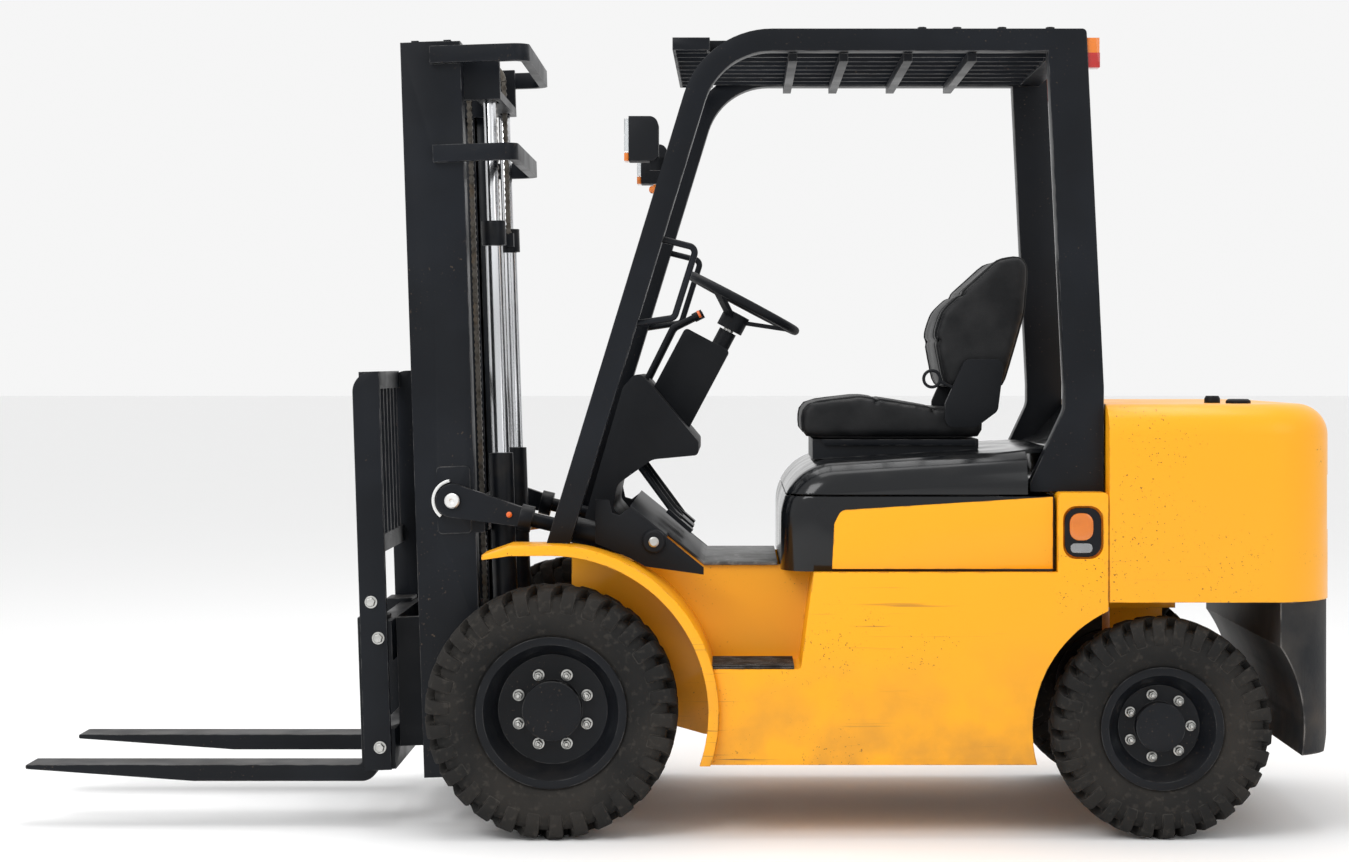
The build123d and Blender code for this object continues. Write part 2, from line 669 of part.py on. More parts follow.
def rear_deck():
    """Sloped cover between the hood and the counterweight."""
    front_x = SHOULDER_X - GAP
    rear_x = BODY_REAR_X
    return slab(face_of([
        (front_x, SHOULDER_Z), (front_x, HOOD_REAR_TOP_Z), (front_x - 3 * SKIN, HOOD_REAR_TOP_Z + SKIN),
        (rear_x, WEIGHT_TOP_Z - SKIN), (rear_x, SHOULDER_Z),
    ]), -GUARD_INNER_Y + GAP, GUARD_INNER_Y - GAP)


def guard_side():
    """Left side of the overhead guard: pillar and rail in one bent tube, and the wide rear post."""
    foot_z = FRONT_TYRE_R + FRONT_ARCH_R
    rail_z = GUARD_TOP_Z - TUBE / 2
    slope = (PILLAR_TOP_X - PILLAR_FOOT_X) / (rail_z - foot_z)
    post_rear_x = REAR_POST_TOP_X - REAR_POST_W / 2
    path = FilletPolyline(
        (PILLAR_FOOT_X - slope * TUBE, foot_z - TUBE), (PILLAR_TOP_X, rail_z), (post_rear_x + TUBE, rail_z),
        radius=GUARD_BEND_R)
    tube = slab(trace(path, TUBE), GUARD_INNER_Y, GUARD_OUTER_Y)
    tube -= block((-FRONT_ARCH_R, FRONT_ARCH_R), (0, BODY_HALF_W), (0, foot_z))
    post = slab(face_of([
        (post_rear_x + REAR_POST_W, GUARD_TOP_Z), (post_rear_x, GUARD_TOP_Z, SKIN),
        (REAR_POST_SEAM_X - REAR_POST_W / 2, REAR_POST_SEAM_Z), (LEG_FOOT_REAR_X, SHOULDER_Z),
        (LEG_FOOT_FRONT_X, SHOULDER_Z), (LEG_FOOT_FRONT_X, SHOULDER_Z + 2 * SKIN),
        (REAR_POST_SEAM_X + REAR_POST_W / 2, REAR_POST_SEAM_Z - TUBE, TUBE),
        (REAR_POST_SEAM_X + REAR_POST_W / 2, REAR_POST_SEAM_Z),
    ]), GUARD_INNER_Y, GUARD_OUTER_Y)
    return tube + post


def roof_low_z():
    """Underside of the roof slats."""
    return GUARD_TOP_Z - TUBE / 2 - ROOF_SLAT_H + GAP


def guard_frame():
    """Overhead guard: both sides, the rear cross tube and the bars under the roof slats."""
    low_z = roof_low_z()
    frame = both_sides(guard_side())
    frame += block((REAR_POST_TOP_X - TUBE / 2, REAR_POST_TOP_X + TUBE / 2), (-GUARD_INNER_Y, GUARD_INNER_Y),
                   (GUARD_TOP_Z - TUBE, GUARD_TOP_Z))
    bend_x = PILLAR_TOP_X - GUARD_BEND_R
    for x in (bend_x, *CROSS_BARS_X):
        frame += block((x - SKIN, x + SKIN), (-GUARD_INNER_Y, GUARD_INNER_Y), (low_z - 2 * SKIN, low_z))
    return frame


def guard_roof():
    """Roof slats from the front overhang to the rear cross tube."""
    low_z = roof_low_z()
    high_z = low_z + ROOF_SLAT_H
    span_y = GUARD_INNER_Y - ROOF_SLAT_T - GAP
    rear_x = REAR_POST_TOP_X + TUBE / 2
    edge_x = PILLAR_TOP_X + GAP
    roof = block((ROOF_FRONT_X - ROOF_SLAT_T, ROOF_FRONT_X), (-GUARD_OUTER_Y, GUARD_OUTER_Y), (low_z, high_z))
    for index in range(ROOF_SLATS):
        y = -span_y + 2 * span_y * index / (ROOF_SLATS - 1)
        roof += block((rear_x, ROOF_FRONT_X), (y - ROOF_SLAT_T / 2, y + ROOF_SLAT_T / 2), (low_z, high_z))
    edge = block((edge_x, ROOF_FRONT_X), (GUARD_OUTER_Y - ROOF_SLAT_T, GUARD_OUTER_Y), (low_z, high_z))
    tie = block((edge_x, edge_x + ROOF_SLAT_T), (span_y, GUARD_OUTER_Y), (low_z, high_z))
    return roof + both_sides(edge + tie)


def pillar_x(z):
    """X of the pillar's middle line at a height."""
    foot_z = FRONT_TYRE_R + FRONT_ARCH_R
    rail_z = GUARD_TOP_Z - TUBE / 2
    return PILLAR_FOOT_X + (PILLAR_TOP_X - PILLAR_FOOT_X) * (z - foot_z) / (rail_z - foot_z)


def grab_bar(guard):
    """Left grab bar, bent out behind the pillar."""
    y = GUARD_INNER_Y + TUBE / 2
    high_z = STEERING_Z + STEERING_R
    low_z = high_z - 4 * TUBE
    out_x = pillar_x(high_z) - 2 * TUBE
    bar = tube_along([
        (pillar_x(high_z), y, high_z), (out_x, y, high_z - TUBE / 2), (out_x + TUBE, y, low_z + TUBE / 3),
        (pillar_x(low_z), y, low_z),
    ], GRAB_BAR_R, 2 * GRAB_BAR_R)
    return bar - guard


def headlamp_box():
    """X and Z ranges of the head lamp ahead of the pillar."""
    low_z = STEERING_Z + 2 * STEERING_R + STEERING_R / 5
    rear_x = pillar_x(low_z) + TUBE * 3 / 4
    return (rear_x, rear_x + TUBE * 4 / 3), (low_z, low_z + 2 * TUBE)


def headlamps(guard):
    """Left head lamp housing with its arm on the pillar."""
    (rear_x, front_x), (low_z, high_z) = headlamp_box()
    y = GUARD_INNER_Y + TUBE / 2
    half = TUBE * 3 / 4
    housing = slab(face_of([
        (rear_x, low_z + SKIN), (rear_x, high_z, 2 * SKIN), (front_x, high_z), (front_x, low_z), (rear_x + SKIN, low_z),
    ]), y - half, y + half)
    arm = block((rear_x - TUBE, rear_x + 2 * SKIN), (y - SKIN, y + SKIN), (low_z - 2 * SKIN, low_z + SKIN))
    return housing + (arm - guard)


def headlamp_lenses():
    """Left head lamp lens."""
    (_, front_x), (low_z, high_z) = headlamp_box()
    y = GUARD_INNER_Y + TUBE / 2
    half = TUBE * 3 / 4 - SKIN / 2
    return block((front_x, front_x + SKIN), (y - half, y + half), (low_z + 2 * SKIN, high_z - SKIN / 2))


def indicator_lamps():
    """Left front indicator strip below the head lamp lens."""
    (_, front_x), (low_z, _) = headlamp_box()
    y = GUARD_INNER_Y + TUBE / 2
    half = TUBE * 3 / 4 - SKIN / 2
    return block((front_x, front_x + SKIN), (y - half, y + half), (low_z, low_z + 2 * SKIN - SKIN / 4))


def rear_lamps(guard):
    """Left rear lamp behind the top of the rear post."""
    x = REAR_POST_TOP_X - REAR_POST_W / 2
    y = GUARD_INNER_Y + TUBE / 2
    high_z = GUARD_TOP_Z - 2 * SKIN
    lamp = block((x - 3 * SKIN, x + SKIN), (y - 2 * SKIN, y + 2 * SKIN), (high_z - TUBE * 4 / 3, high_z))
    return lamp - guard


def side_lamps():
    """Left lamp in the pocket of the body side."""
    return slab(side_lamp_face(-SKIN), BODY_HALF_W - 2 * SKIN, BODY_HALF_W - SKIN / 2)


def cowl_face():
    """Side outline of the cowl, from its top round the front, foot, waist and nose."""
    foot_x = DECK_FRONT_X - SKIN
    nose_x = foot_x - COWL_NOSE_RUN
    waist_x = foot_x - COWL_WAIST_RUN
    return face_of([
        (foot_x - COWL_TOP_RUN, DECK_Z + COWL_HEIGHT, 2 * SKIN),
        (foot_x - COWL_TOP_RUN * 3 / 4, DECK_Z + COWL_HEIGHT - COWL_BROW_DROP, 2 * SKIN),
        (foot_x, DECK_Z), (foot_x - COWL_FOOT_RUN, DECK_Z),
        (foot_x - COWL_HEEL_RUN, DECK_Z + COWL_HEEL_H, 2 * SKIN),
        (waist_x + GAP, DECK_Z + COWL_WAIST_LOW, 2 * SKIN), (waist_x - GAP, DECK_Z + COWL_WAIST_HIGH, 3 * SKIN),
        ((waist_x + nose_x) / 2 + SKIN, DECK_Z + COWL_NOSE_LOW - SKIN, 4 * SKIN),
        (nose_x, DECK_Z + COWL_NOSE_LOW, SKIN), (nose_x, DECK_Z + COWL_NOSE_LOW + COWL_NOSE_H, SKIN),
    ])


def cowl():
    """Moulded cowl that carries the steering column."""
    return slab(cowl_face(), -COWL_HALF_W, COWL_HALF_W)


def steering_up():
    """Direction of the steering column, up and to the rear."""
    slope = math.radians(STEERING_SLOPE)
    return Vector(-math.sin(slope), 0, math.cos(slope))


def steering_centre():
    """Middle of the steering wheel's rim."""
    return Vector(STEERING_X, 0, STEERING_Z)


def steering_column(cowl_solid):
    """Column tube and its moulded shroud, down to the cowl."""
    up = steering_up()
    centre = steering_centre()
    top = STEERING_DISH + COLUMN_R + GAP
    tube = rod_between(centre - up * COLUMN_LENGTH, centre - up * top, COLUMN_R)
    side = Plane(origin=centre, x_dir=Vector(0, 1, 0).cross(up), z_dir=(0, -1, 0))
    rear = COLUMN_R + GAP
    shroud_face = face_of([
        (-rear, -SHROUD_HIGH, SKIN), (SHROUD_FRONT, -SHROUD_HIGH, SKIN), (SHROUD_FRONT, -SHROUD_LOW, SKIN),
        (-rear, -SHROUD_LOW, SKIN),
    ])
    shroud = extrude(side * shroud_face, amount=3 * COLUMN_R, both=True)
    return tube + shroud - cowl_solid


def steering_wheel():
    """Rim, spokes and the hub below them."""
    section = Plane.XZ * Pos(STEERING_R, 0) * RegularPolygon(STEERING_RIM_R, STEERING_RIM_SIDES)
    local = revolve(section, axis=Axis.Z) + Pos(0, 0, -STEERING_DISH) * Cylinder(1.5 * COLUMN_R, 2 * COLUMN_R)
    half_t = STEERING_RIM_R / 2
    spoke = slab(face_of([
        (0, -STEERING_DISH - half_t), (STEERING_R, -half_t), (STEERING_R, half_t), (0, -STEERING_DISH + half_t),
    ]), -STEERING_RIM_R, STEERING_RIM_R)
    for turn in (90, 210, 330):
        local += Rot(0, 0, turn) * spoke
    return Plane(origin=steering_centre(), x_dir=(0, 1, 0), z_dir=steering_up()) * local


def control_levers(cowl_solid):
    """Direction lever on the left and two lift levers on the right, each with a grip."""
    levers = None
    x, z = LEVER_FOOT_X, LEVER_FOOT_Z
    for y in (COWL_HALF_W / 2, -COWL_HALF_W / 2, -COWL_HALF_W * 3 / 4):
        bend = Vector(x - STEERING_R / 2, y, z + STEERING_R)
        end = Vector(x - STEERING_R, y, z + STEERING_R * 5 / 4)
        stem = tube_along([(x, y, z), bend, end], LEVER_R, 4 * LEVER_R)
        lever = stem + rod_between(end - (end - bend).normalized() * 3 * KNOB_R, end, KNOB_R)
        levers = lever if levers is None else levers + lever
    return levers - cowl_solid


def pedals(cowl_solid):
    """Pedals that hang from the cowl's waist over the toe board."""
    slope = math.degrees(math.atan2(TOE_FRONT_Z - SEAM_Z, TOE_FRONT_X - TOE_REAR_X))
    x = (TOE_FRONT_X + TOE_REAR_X) / 2 - TUBE / 2
    z = (TOE_FRONT_Z + SEAM_Z) / 2 + TUBE / 2
    group = None
    for y, width in ((COWL_HALF_W * 3 / 4, TUBE), (0, 2 * TUBE), (-COWL_HALF_W * 3 / 4, TUBE)):
        pad = Pos(x, y, z) * Rot(0, -slope, 0) * Box(TUBE * 3 / 2, width, SKIN)
        arm = rod_between((x, y, z), (PEDAL_PIVOT_X, y, PEDAL_PIVOT_Z), 1.2 * LEVER_R)
        group = pad + arm if group is None else group + pad + arm
    return group - cowl_solid


def engine_block():
    """Engine and transmission as one block on the belly bar."""
    low_z = BODY_BOTTOM_Z + 8 * SKIN
    return block((HOOD_REAR_X + 2 * TUBE, HOOD_FRONT_X - TUBE), (-INNER_WALL_Y + TUBE, INNER_WALL_Y - TUBE),
                 (low_z, SHOULDER_Z))


def hood_top_z(x):
    """Height of the hood's top at a place along the truck."""
    return HOOD_FRONT_TOP_Z + (HOOD_REAR_TOP_Z - HOOD_FRONT_TOP_Z) * (HOOD_FRONT_X - x) / (HOOD_FRONT_X - HOOD_REAR_X)


def hood_form(inset, low_z):
    """Hood body with a round nose and round upper edges, smaller all round by an inset."""
    front_x = HOOD_FRONT_X - inset
    rear_x = HOOD_REAR_X + inset
    half_w = HOOD_HALF_W - inset
    form = slab(face_of([
        (front_x, low_z), (front_x, HOOD_FRONT_TOP_Z - inset, HOOD_FRONT_R - inset),
        (rear_x, HOOD_REAR_TOP_Z - inset), (rear_x, low_z),
    ]), -half_w, half_w)
    edges = [edge for edge in form.edges().filter_by(Axis.Z, reverse=True)
             if abs(abs(edge.center().Y) - half_w) < FIT and edge.center().Z > SHOULDER_Z]
    return fillet(edges, HOOD_EDGE_R - inset)


def hood_shell(low_z, high_z):
    """Engine cover's shell between two heights."""
    shell = hood_form(0, SEAM_Z) - hood_form(HOOD_WALL, SEAM_Z - SKIN)
    return shell & block((HOOD_REAR_X, HOOD_FRONT_X), (-HOOD_HALF_W, HOOD_HALF_W), (low_z, high_z))


def hood_surround():
    """Fixed lower part of the engine cover on the body."""
    return hood_shell(SEAM_Z, HOOD_SPLIT_Z - GAP)


def hood():
    """Hood, open below, with room at the rear corners for the guard's legs."""
    leg_room = block((HOOD_REAR_X - SKIN, LEG_FOOT_FRONT_X + 2 * GAP), (GUARD_INNER_Y - 2 * GAP, BODY_HALF_W),
                     (SEAM_Z, GUARD_TOP_Z))
    return hood_shell(HOOD_SPLIT_Z, GUARD_TOP_Z) - both_sides(leg_room)


def hood_side_panels():
    """Left yellow panel on the side of the engine cover."""
    front_x = STEP_REAR_X - 7 * SKIN
    rear_x = SHOULDER_X + SKIN
    high_z = HOOD_SPLIT_Z - GAP
    low_z = SEAM_Z + 2 * HOOD_SEAM
    return slab(face_of([
        (front_x, low_z), (front_x - GAP, high_z - 6 * SKIN, 2 * SKIN), (front_x - 2 * SKIN, high_z - 3 * SKIN, 2 * SKIN),
        (rear_x, high_z), (rear_x, low_z),
    ]), HOOD_HALF_W, HOOD_HALF_W + PANEL_T)


def seat_base():
    """Seat base on the hood."""
    front_x = CUSHION_FRONT_X - 3 * SKIN
    rear_x = CUSHION_REAR_X + SKIN
    half_w = SEAT_HALF_W - 3 * SKIN
    return slab(face_of([
        (front_x, hood_top_z(front_x)), (front_x, CUSHION_LOW_Z), (rear_x, CUSHION_LOW_Z), (rear_x, hood_top_z(rear_x)),
    ]), -half_w, half_w)


def seat_cushion():
    """Seat cushion, thin and round at the front."""
    high_z = CUSHION_HIGH_Z
    rise = (CUSHION_HIGH_Z - CUSHION_LOW_Z) / 3
    return slab(face_of([
        (CUSHION_FRONT_X, CUSHION_LOW_Z, rise / 2), (CUSHION_FRONT_X, high_z - rise / 2, rise),
        (CUSHION_FRONT_X - 4 * rise, high_z, rise), (CUSHION_REAR_X + 3 * rise, high_z - rise, rise),
        (CUSHION_REAR_X, high_z - rise), (CUSHION_REAR_X, CUSHION_LOW_Z),
    ]), -SEAT_HALF_W, SEAT_HALF_W)


def seat_back():
    """Seat back, leaning to the rear with a full lumbar."""
    x, z = CUSHION_REAR_X, CUSHION_HIGH_Z
    top_x = x - BACK_LEAN
    round_r = BACK_FOOT_REAR / 2
    return slab(face_of([
        (x + BACK_FOOT_FRONT, z + SKIN, round_r), (x + BACK_LUMBAR, z + BACK_LUMBAR_H, 2 * round_r),
        (x + BACK_LEAN, z + BACK_SHOULDER_H, 2 * round_r),
        (top_x + BACK_TOP_T, z + BACK_HEIGHT - SKIN, round_r), (top_x, z + BACK_HEIGHT, round_r),
        (top_x - SKIN, z + BACK_HEIGHT - 3 * SKIN, SKIN), (top_x, z + BACK_SHOULDER_H, 2 * round_r),
        (x - BACK_FOOT_REAR, z + SKIN, round_r),
    ]), -SEAT_HALF_W, SEAT_HALF_W)


def seat_covers():
    """Left recliner cover beside the seat."""
    x, z = CUSHION_REAR_X, CUSHION_HIGH_Z
    low_z = z - COVER_DROP
    round_r = 2 * SKIN
    return slab(face_of([
        (x + COVER_FRONT, low_z, round_r), (x + COVER_FRONT, z - round_r, round_r),
        (x + COVER_FRONT / 2, z + COVER_RISE, round_r), (x - COVER_FRONT / 2, z + COVER_RISE, round_r),
        (x - COVER_FRONT / 3, z - COVER_DROP / 2, round_r), (x + round_r, low_z, round_r),
    ]), SEAT_HALF_W + FIT, SEAT_HALF_W + 2 * SKIN)


def outer_rail():
    """Left outer mast rail, a channel open towards the middle."""
    low_u = MAST_FRONT_U - RAIL_DEPTH
    low_y = MAST_OUTER_Y - RAIL_FLANGE_W
    web_y = MAST_OUTER_Y - RAIL_WEB_T
    face = face_of([
        (low_u, low_y), (low_u, MAST_OUTER_Y), (MAST_FRONT_U, MAST_OUTER_Y), (MAST_FRONT_U, low_y),
        (MAST_FRONT_U - RAIL_FLANGE_T, low_y), (MAST_FRONT_U - RAIL_FLANGE_T, web_y),
        (low_u + RAIL_FLANGE_T, web_y), (low_u + RAIL_FLANGE_T, low_y),
    ])
    return plan(face, MAST_LOW_W, MAST_HIGH_W)


def rail_tie(rear_u, low_w):
    """Tie beam that passes behind the cylinders, with an arm along the outside of each rail."""
    arm_u = MAST_FRONT_U - RAIL_DEPTH / 2
    outer_y = MAST_OUTER_Y + TIE_T
    face = face_of([
        (arm_u, outer_y), (rear_u, outer_y, 2 * TIE_T), (rear_u, -outer_y, 2 * TIE_T), (arm_u, -outer_y),
        (arm_u, -MAST_OUTER_Y), (rear_u + TIE_T, -MAST_OUTER_Y, TIE_T), (rear_u + TIE_T, MAST_OUTER_Y, TIE_T),
        (arm_u, MAST_OUTER_Y),
    ])
    return plan(face, low_w, low_w + TIE_H)


def trunnion():
    """Left mast foot bracket, which turns on the axle tube."""
    rail_u = MAST_FRONT_U - RAIL_DEPTH + RAIL_FLANGE_T / 2
    face = face_of([(rail_u, MAST_LOW_W), (rail_u, -MAST_LOW_W), (0, TRUNNION_R), (0, -TRUNNION_R)])
    face = face + Circle(TRUNNION_R) - Circle(AXLE_TUBE_R + FIT)
    return slab(face, MAST_OUTER_Y - TRUNNION_W, MAST_OUTER_Y)


def tilt_bracket():
    """Left plate and pin on the outer rail for the tilt cylinder's eye."""
    u, w = on_upright(TILT_PIN_X, TILT_PIN_Z)
    plate_y = MAST_OUTER_Y + SKIN / 2
    plate = slab(Pos(u, w) * RectangleRounded(2 * TILT_EYE_R, 4 * TILT_EYE_R, SKIN), MAST_OUTER_Y, plate_y)
    boss = bar_y(u, w, 2 * TILT_PIN_R, plate_y, TILT_Y - TILT_EYE_W / 2 - GAP / 2)
    return plate + boss + bar_y(u, w, TILT_PIN_R, plate_y, TILT_Y + TILT_EYE_W / 2 + GAP)


def mast_outer():
    """Outer mast: rails, ties, foot brackets and the shelf under the lift cylinders."""
    low_u = MAST_FRONT_U - RAIL_DEPTH
    tie_front_u = low_u + FIT
    tie_rear_u = LIFT_CYLINDER_U + LIFT_BARREL_R + GAP
    half_w = MAST_OUTER_Y - RAIL_FLANGE_W
    frame = both_sides(outer_rail() + trunnion() + tilt_bracket())
    frame += rail_tie(TOP_TIE_REAR_U, TOP_TIE_W) + rail_tie(SECOND_TIE_REAR_U, SECOND_TIE_W)
    pin_w = on_upright(TILT_PIN_X, TILT_PIN_Z)[1]
    for low_w, high_w in ((MAST_LOW_W, LIFT_BASE_W + TRUNNION_R), (pin_w - TRUNNION_R, pin_w)):
        frame += block((tie_rear_u, tie_front_u), (-MAST_OUTER_Y, MAST_OUTER_Y), (low_w, high_w))
    shelf = block((LIFT_CYLINDER_U - LIFT_BARREL_R, low_u), (LIFT_CYLINDER_Y - LIFT_BARREL_R, half_w),
                  (MAST_LOW_W, LIFT_BASE_W))
    return mast_frame() * (frame + both_sides(shelf))


def lift_cylinder(radius, low_w, high_w):
    """Left length of lift cylinder about its own axis."""
    return plan(Pos(LIFT_CYLINDER_U, LIFT_CYLINDER_Y) * Circle(radius), low_w, high_w)


def lift_barrels():
    """Left lift cylinder barrel with its gland and the chain anchor."""
    gland_low = LIFT_GLAND_W - 2 * LIFT_BARREL_R
    barrel = lift_cylinder(LIFT_BARREL_R, LIFT_BASE_W, LIFT_BARREL_W)
    barrel += lift_cylinder(LIFT_TUBE_R, LIFT_BARREL_W, gland_low)
    barrel += lift_cylinder(LIFT_BARREL_R, gland_low, LIFT_GLAND_W)
    strand_u = SHEAVE_U - SHEAVE_R - CHAIN_T / 2
    barrel += block((strand_u - CHAIN_T, strand_u + CHAIN_T), (SHEAVE_Y - CHAIN_W / 2, LIFT_CYLINDER_Y),
                    (gland_low + CHAIN_T, LIFT_GLAND_W - CHAIN_T))
    return barrel - lift_cylinder(LIFT_ROD_R + FIT, LIFT_BASE_W + LIFT_BARREL_R, LIFT_GLAND_W + LIFT_BARREL_R)


def inner_rail_box():
    """U and Y ranges of the left inner rail inside the outer channel."""
    low_u = MAST_FRONT_U - RAIL_DEPTH + RAIL_FLANGE_T + GAP
    high_u = MAST_FRONT_U - RAIL_FLANGE_T - GAP
    high_y = MAST_OUTER_Y - RAIL_WEB_T - GAP
    return (low_u, high_u), (high_y - INNER_W, high_y)


def inner_rail():
    """Left inner mast rail, an I section."""
    (low_u, high_u), (low_y, high_y) = inner_rail_box()
    middle_y = (low_y + high_y) / 2
    rail = block((low_u, high_u), (low_y, high_y), (INNER_LOW_W, INNER_HIGH_W))
    for near_y, far_y in ((low_y, middle_y - INNER_WEB_T / 2), (middle_y + INNER_WEB_T / 2, high_y)):
        rail -= block((low_u + INNER_FLANGE_T, high_u - INNER_FLANGE_T), (near_y, far_y), (INNER_LOW_W, INNER_HIGH_W))
    return rail


def mast_inner():
    """Inner mast: rails, the head that the rods push up, sheave axles and the lower tie."""
    (low_u, high_u), (low_y, _) = inner_rail_box()
    head_low = SHEAVE_W - SHEAVE_R - 2 * CHAIN_T - TIE_T
    head_u = (LIFT_CYLINDER_U - LIFT_BARREL_R, LIFT_CYLINDER_U + LIFT_BARREL_R)
    strand_u = SHEAVE_U - SHEAVE_R - CHAIN_T / 2
    head = block(head_u, (-low_y, low_y), (head_low, head_low + TIE_T))
    slot = block((strand_u - CHAIN_T, strand_u + CHAIN_T), (SHEAVE_Y - CHAIN_W, SHEAVE_Y + CHAIN_W),
                 (head_low - TIE_T, head_low + 2 * TIE_T))
    arm = block((head_u[0], high_u), (low_y - TIE_T, low_y), (head_low, INNER_HIGH_W - TIE_T))
    axle = bar_y(SHEAVE_U, SHEAVE_W, CHAIN_T, SHEAVE_Y - CHAIN_W, low_y - TIE_T)
    lower = block((low_u, low_u + INNER_FLANGE_T), (-low_y, low_y), (INNER_LOW_W, CARRIAGE_LOW_W + 4 * SKIN - GAP))
    return mast_frame() * (both_sides(inner_rail() + arm + axle) + head - both_sides(slot) + lower)


def lift_rods():
    """Left lift rod, from inside the barrel up to the inner mast's head."""
    head_low = SHEAVE_W - SHEAVE_R - 2 * CHAIN_T - TIE_T
    return lift_cylinder(LIFT_ROD_R, LIFT_BASE_W + 2 * LIFT_BARREL_R, head_low)


def chain_sheaves():
    """Left chain sheave on the inner mast's head."""
    disc = bar_y(SHEAVE_U, SHEAVE_W, SHEAVE_R, SHEAVE_Y - CHAIN_W / 2, SHEAVE_Y + CHAIN_W / 2)
    return disc - bar_y(SHEAVE_U, SHEAVE_W, CHAIN_T + FIT, 0, 2 * SHEAVE_Y)


def chain_wraps():
    """Left stretch of chain over the sheave."""
    ring = Circle(SHEAVE_R + CHAIN_T) - Circle(SHEAVE_R + FIT)
    upper = ring & Pos(0, SHEAVE_R) * Rectangle(4 * SHEAVE_R, 2 * SHEAVE_R)
    return slab(Pos(SHEAVE_U, SHEAVE_W) * upper, SHEAVE_Y - CHAIN_W / 2, SHEAVE_Y + CHAIN_W / 2)


def chain_run(u, low_w):
    """Left straight strand of leaf chain hanging from the sheave, waisted between its pins."""
    links = round((SHEAVE_W - low_w) / CHAIN_PITCH)
    pitch = (SHEAVE_W - low_w) / links
    front = [(CHAIN_T / 2, low_w)]
    for i in range(links):
        front += [(CHAIN_WAIST / 2, low_w + (i + 1 / 2) * pitch), (CHAIN_T / 2, low_w + (i + 1) * pitch)]
    rear = [(-across, up) for across, up in reversed(front)]
    face = make_face(Polyline(*front, *rear, close=True))
    return slab(Pos(u, 0) * face, SHEAVE_Y - CHAIN_W / 2, SHEAVE_Y + CHAIN_W / 2)


def chain_anchor_runs():
    """Left strand from the sheave down to the anchor on the lift cylinder."""
    return chain_run(SHEAVE_U - SHEAVE_R - CHAIN_T / 2, LIFT_GLAND_W - CHAIN_T)


def carriage_anchor_w():
    """Height on the mast of the chain anchor on the carriage."""
    return CARRIAGE_LOW_W + CARRIAGE_HEIGHT - CARRIAGE_BAR_H


def chain_lift_runs():
    """Left strand from the sheave down to the carriage."""
    return chain_run(SHEAVE_U + SHEAVE_R + CHAIN_T / 2, carriage_anchor_w() + CHAIN_T)


def carriage():
    """Fork carriage: two bars, side plates, rollers in the inner rails and the chain anchors."""
    (low_u, high_u), (low_y, high_y) = inner_rail_box()
    bar_u = (CARRIAGE_BAR_U, CARRIAGE_BAR_U + CARRIAGE_BAR_T)
    top_w = CARRIAGE_LOW_W + CARRIAGE_HEIGHT
    frame = block(bar_u, (-CARRIAGE_HALF_W, CARRIAGE_HALF_W), (CARRIAGE_LOW_W, CARRIAGE_LOW_W + CARRIAGE_BAR_H))
    frame += block(bar_u, (-CARRIAGE_HALF_W, CARRIAGE_HALF_W), (top_w - CARRIAGE_BAR_H, top_w))
    plate_y = (low_y - GAP - 2 * SKIN, low_y - GAP)
    middle_u = (low_u + high_u) / 2
    plate = block((low_u, bar_u[0]), plate_y, (CARRIAGE_LOW_W + 4 * SKIN, top_w))
    roller_y = (low_y + high_y - INNER_WEB_T) / 2 - GAP
    for w in (CARRIAGE_LOW_W + 4 * SKIN + ROLLER_R, top_w - ROLLER_R):
        plate += bar_y(middle_u, w, ROLLER_R, plate_y[1], roller_y)
    strand_u = SHEAVE_U + SHEAVE_R + CHAIN_T / 2
    anchor_w = carriage_anchor_w()
    anchor = block((strand_u - CHAIN_T, low_u + SKIN), (SHEAVE_Y - CHAIN_W / 2, plate_y[0]),
                   (anchor_w - CHAIN_T, anchor_w + CHAIN_T))
    web = block((low_u, low_u + SKIN), (plate_y[0], plate_y[1]), (anchor_w - CHAIN_T, anchor_w + CHAIN_T))
    return mast_frame() * (frame + both_sides(plate + anchor + web))


def backrest():
    """Load backrest: a post at each end, top and lower rails, and upright bars."""
    low_u = CARRIAGE_BAR_U + CARRIAGE_BAR_T
    rear_u = low_u - BACKREST_SETBACK
    high_u = rear_u + BACKREST_DEPTH
    half_w = CARRIAGE_HALF_W
    top_w = CARRIAGE_LOW_W + CARRIAGE_HEIGHT
    grille_low = BACKREST_HIGH_W - (BACKREST_HIGH_W - top_w) * 3 / 4
    post = slab(face_of([
        (rear_u, CARRIAGE_LOW_W), (rear_u, BACKREST_HIGH_W), (high_u, BACKREST_HIGH_W, BACKREST_DEPTH * 3 / 4),
        (high_u, CARRIAGE_LOW_W),
    ]), half_w, half_w + BACKREST_POST_T)
    rest = both_sides(post)
    for low_w in (grille_low, BACKREST_HIGH_W - BACKREST_RAIL_H):
        rest += block((low_u, low_u + BACKREST_POST_T), (-half_w, half_w), (low_w, low_w + BACKREST_RAIL_H))
    for index in range(BACKREST_BARS):
        y = half_w * (2 * (index + 1) / (BACKREST_BARS + 1) - 1)
        rest += block((low_u, low_u + BACKREST_POST_T), (y - BACKREST_BAR_T / 2, y + BACKREST_BAR_T / 2),
                      (grille_low, BACKREST_HIGH_W))
    return mast_frame() * rest


def fork_face_x():
    """X of the shank's front face at the top of the blade."""
    front_u = CARRIAGE_BAR_U + CARRIAGE_BAR_T + FORK_T
    return on_mast(front_u, on_upright(front_u, FORK_TOP_Z)[1])[0]


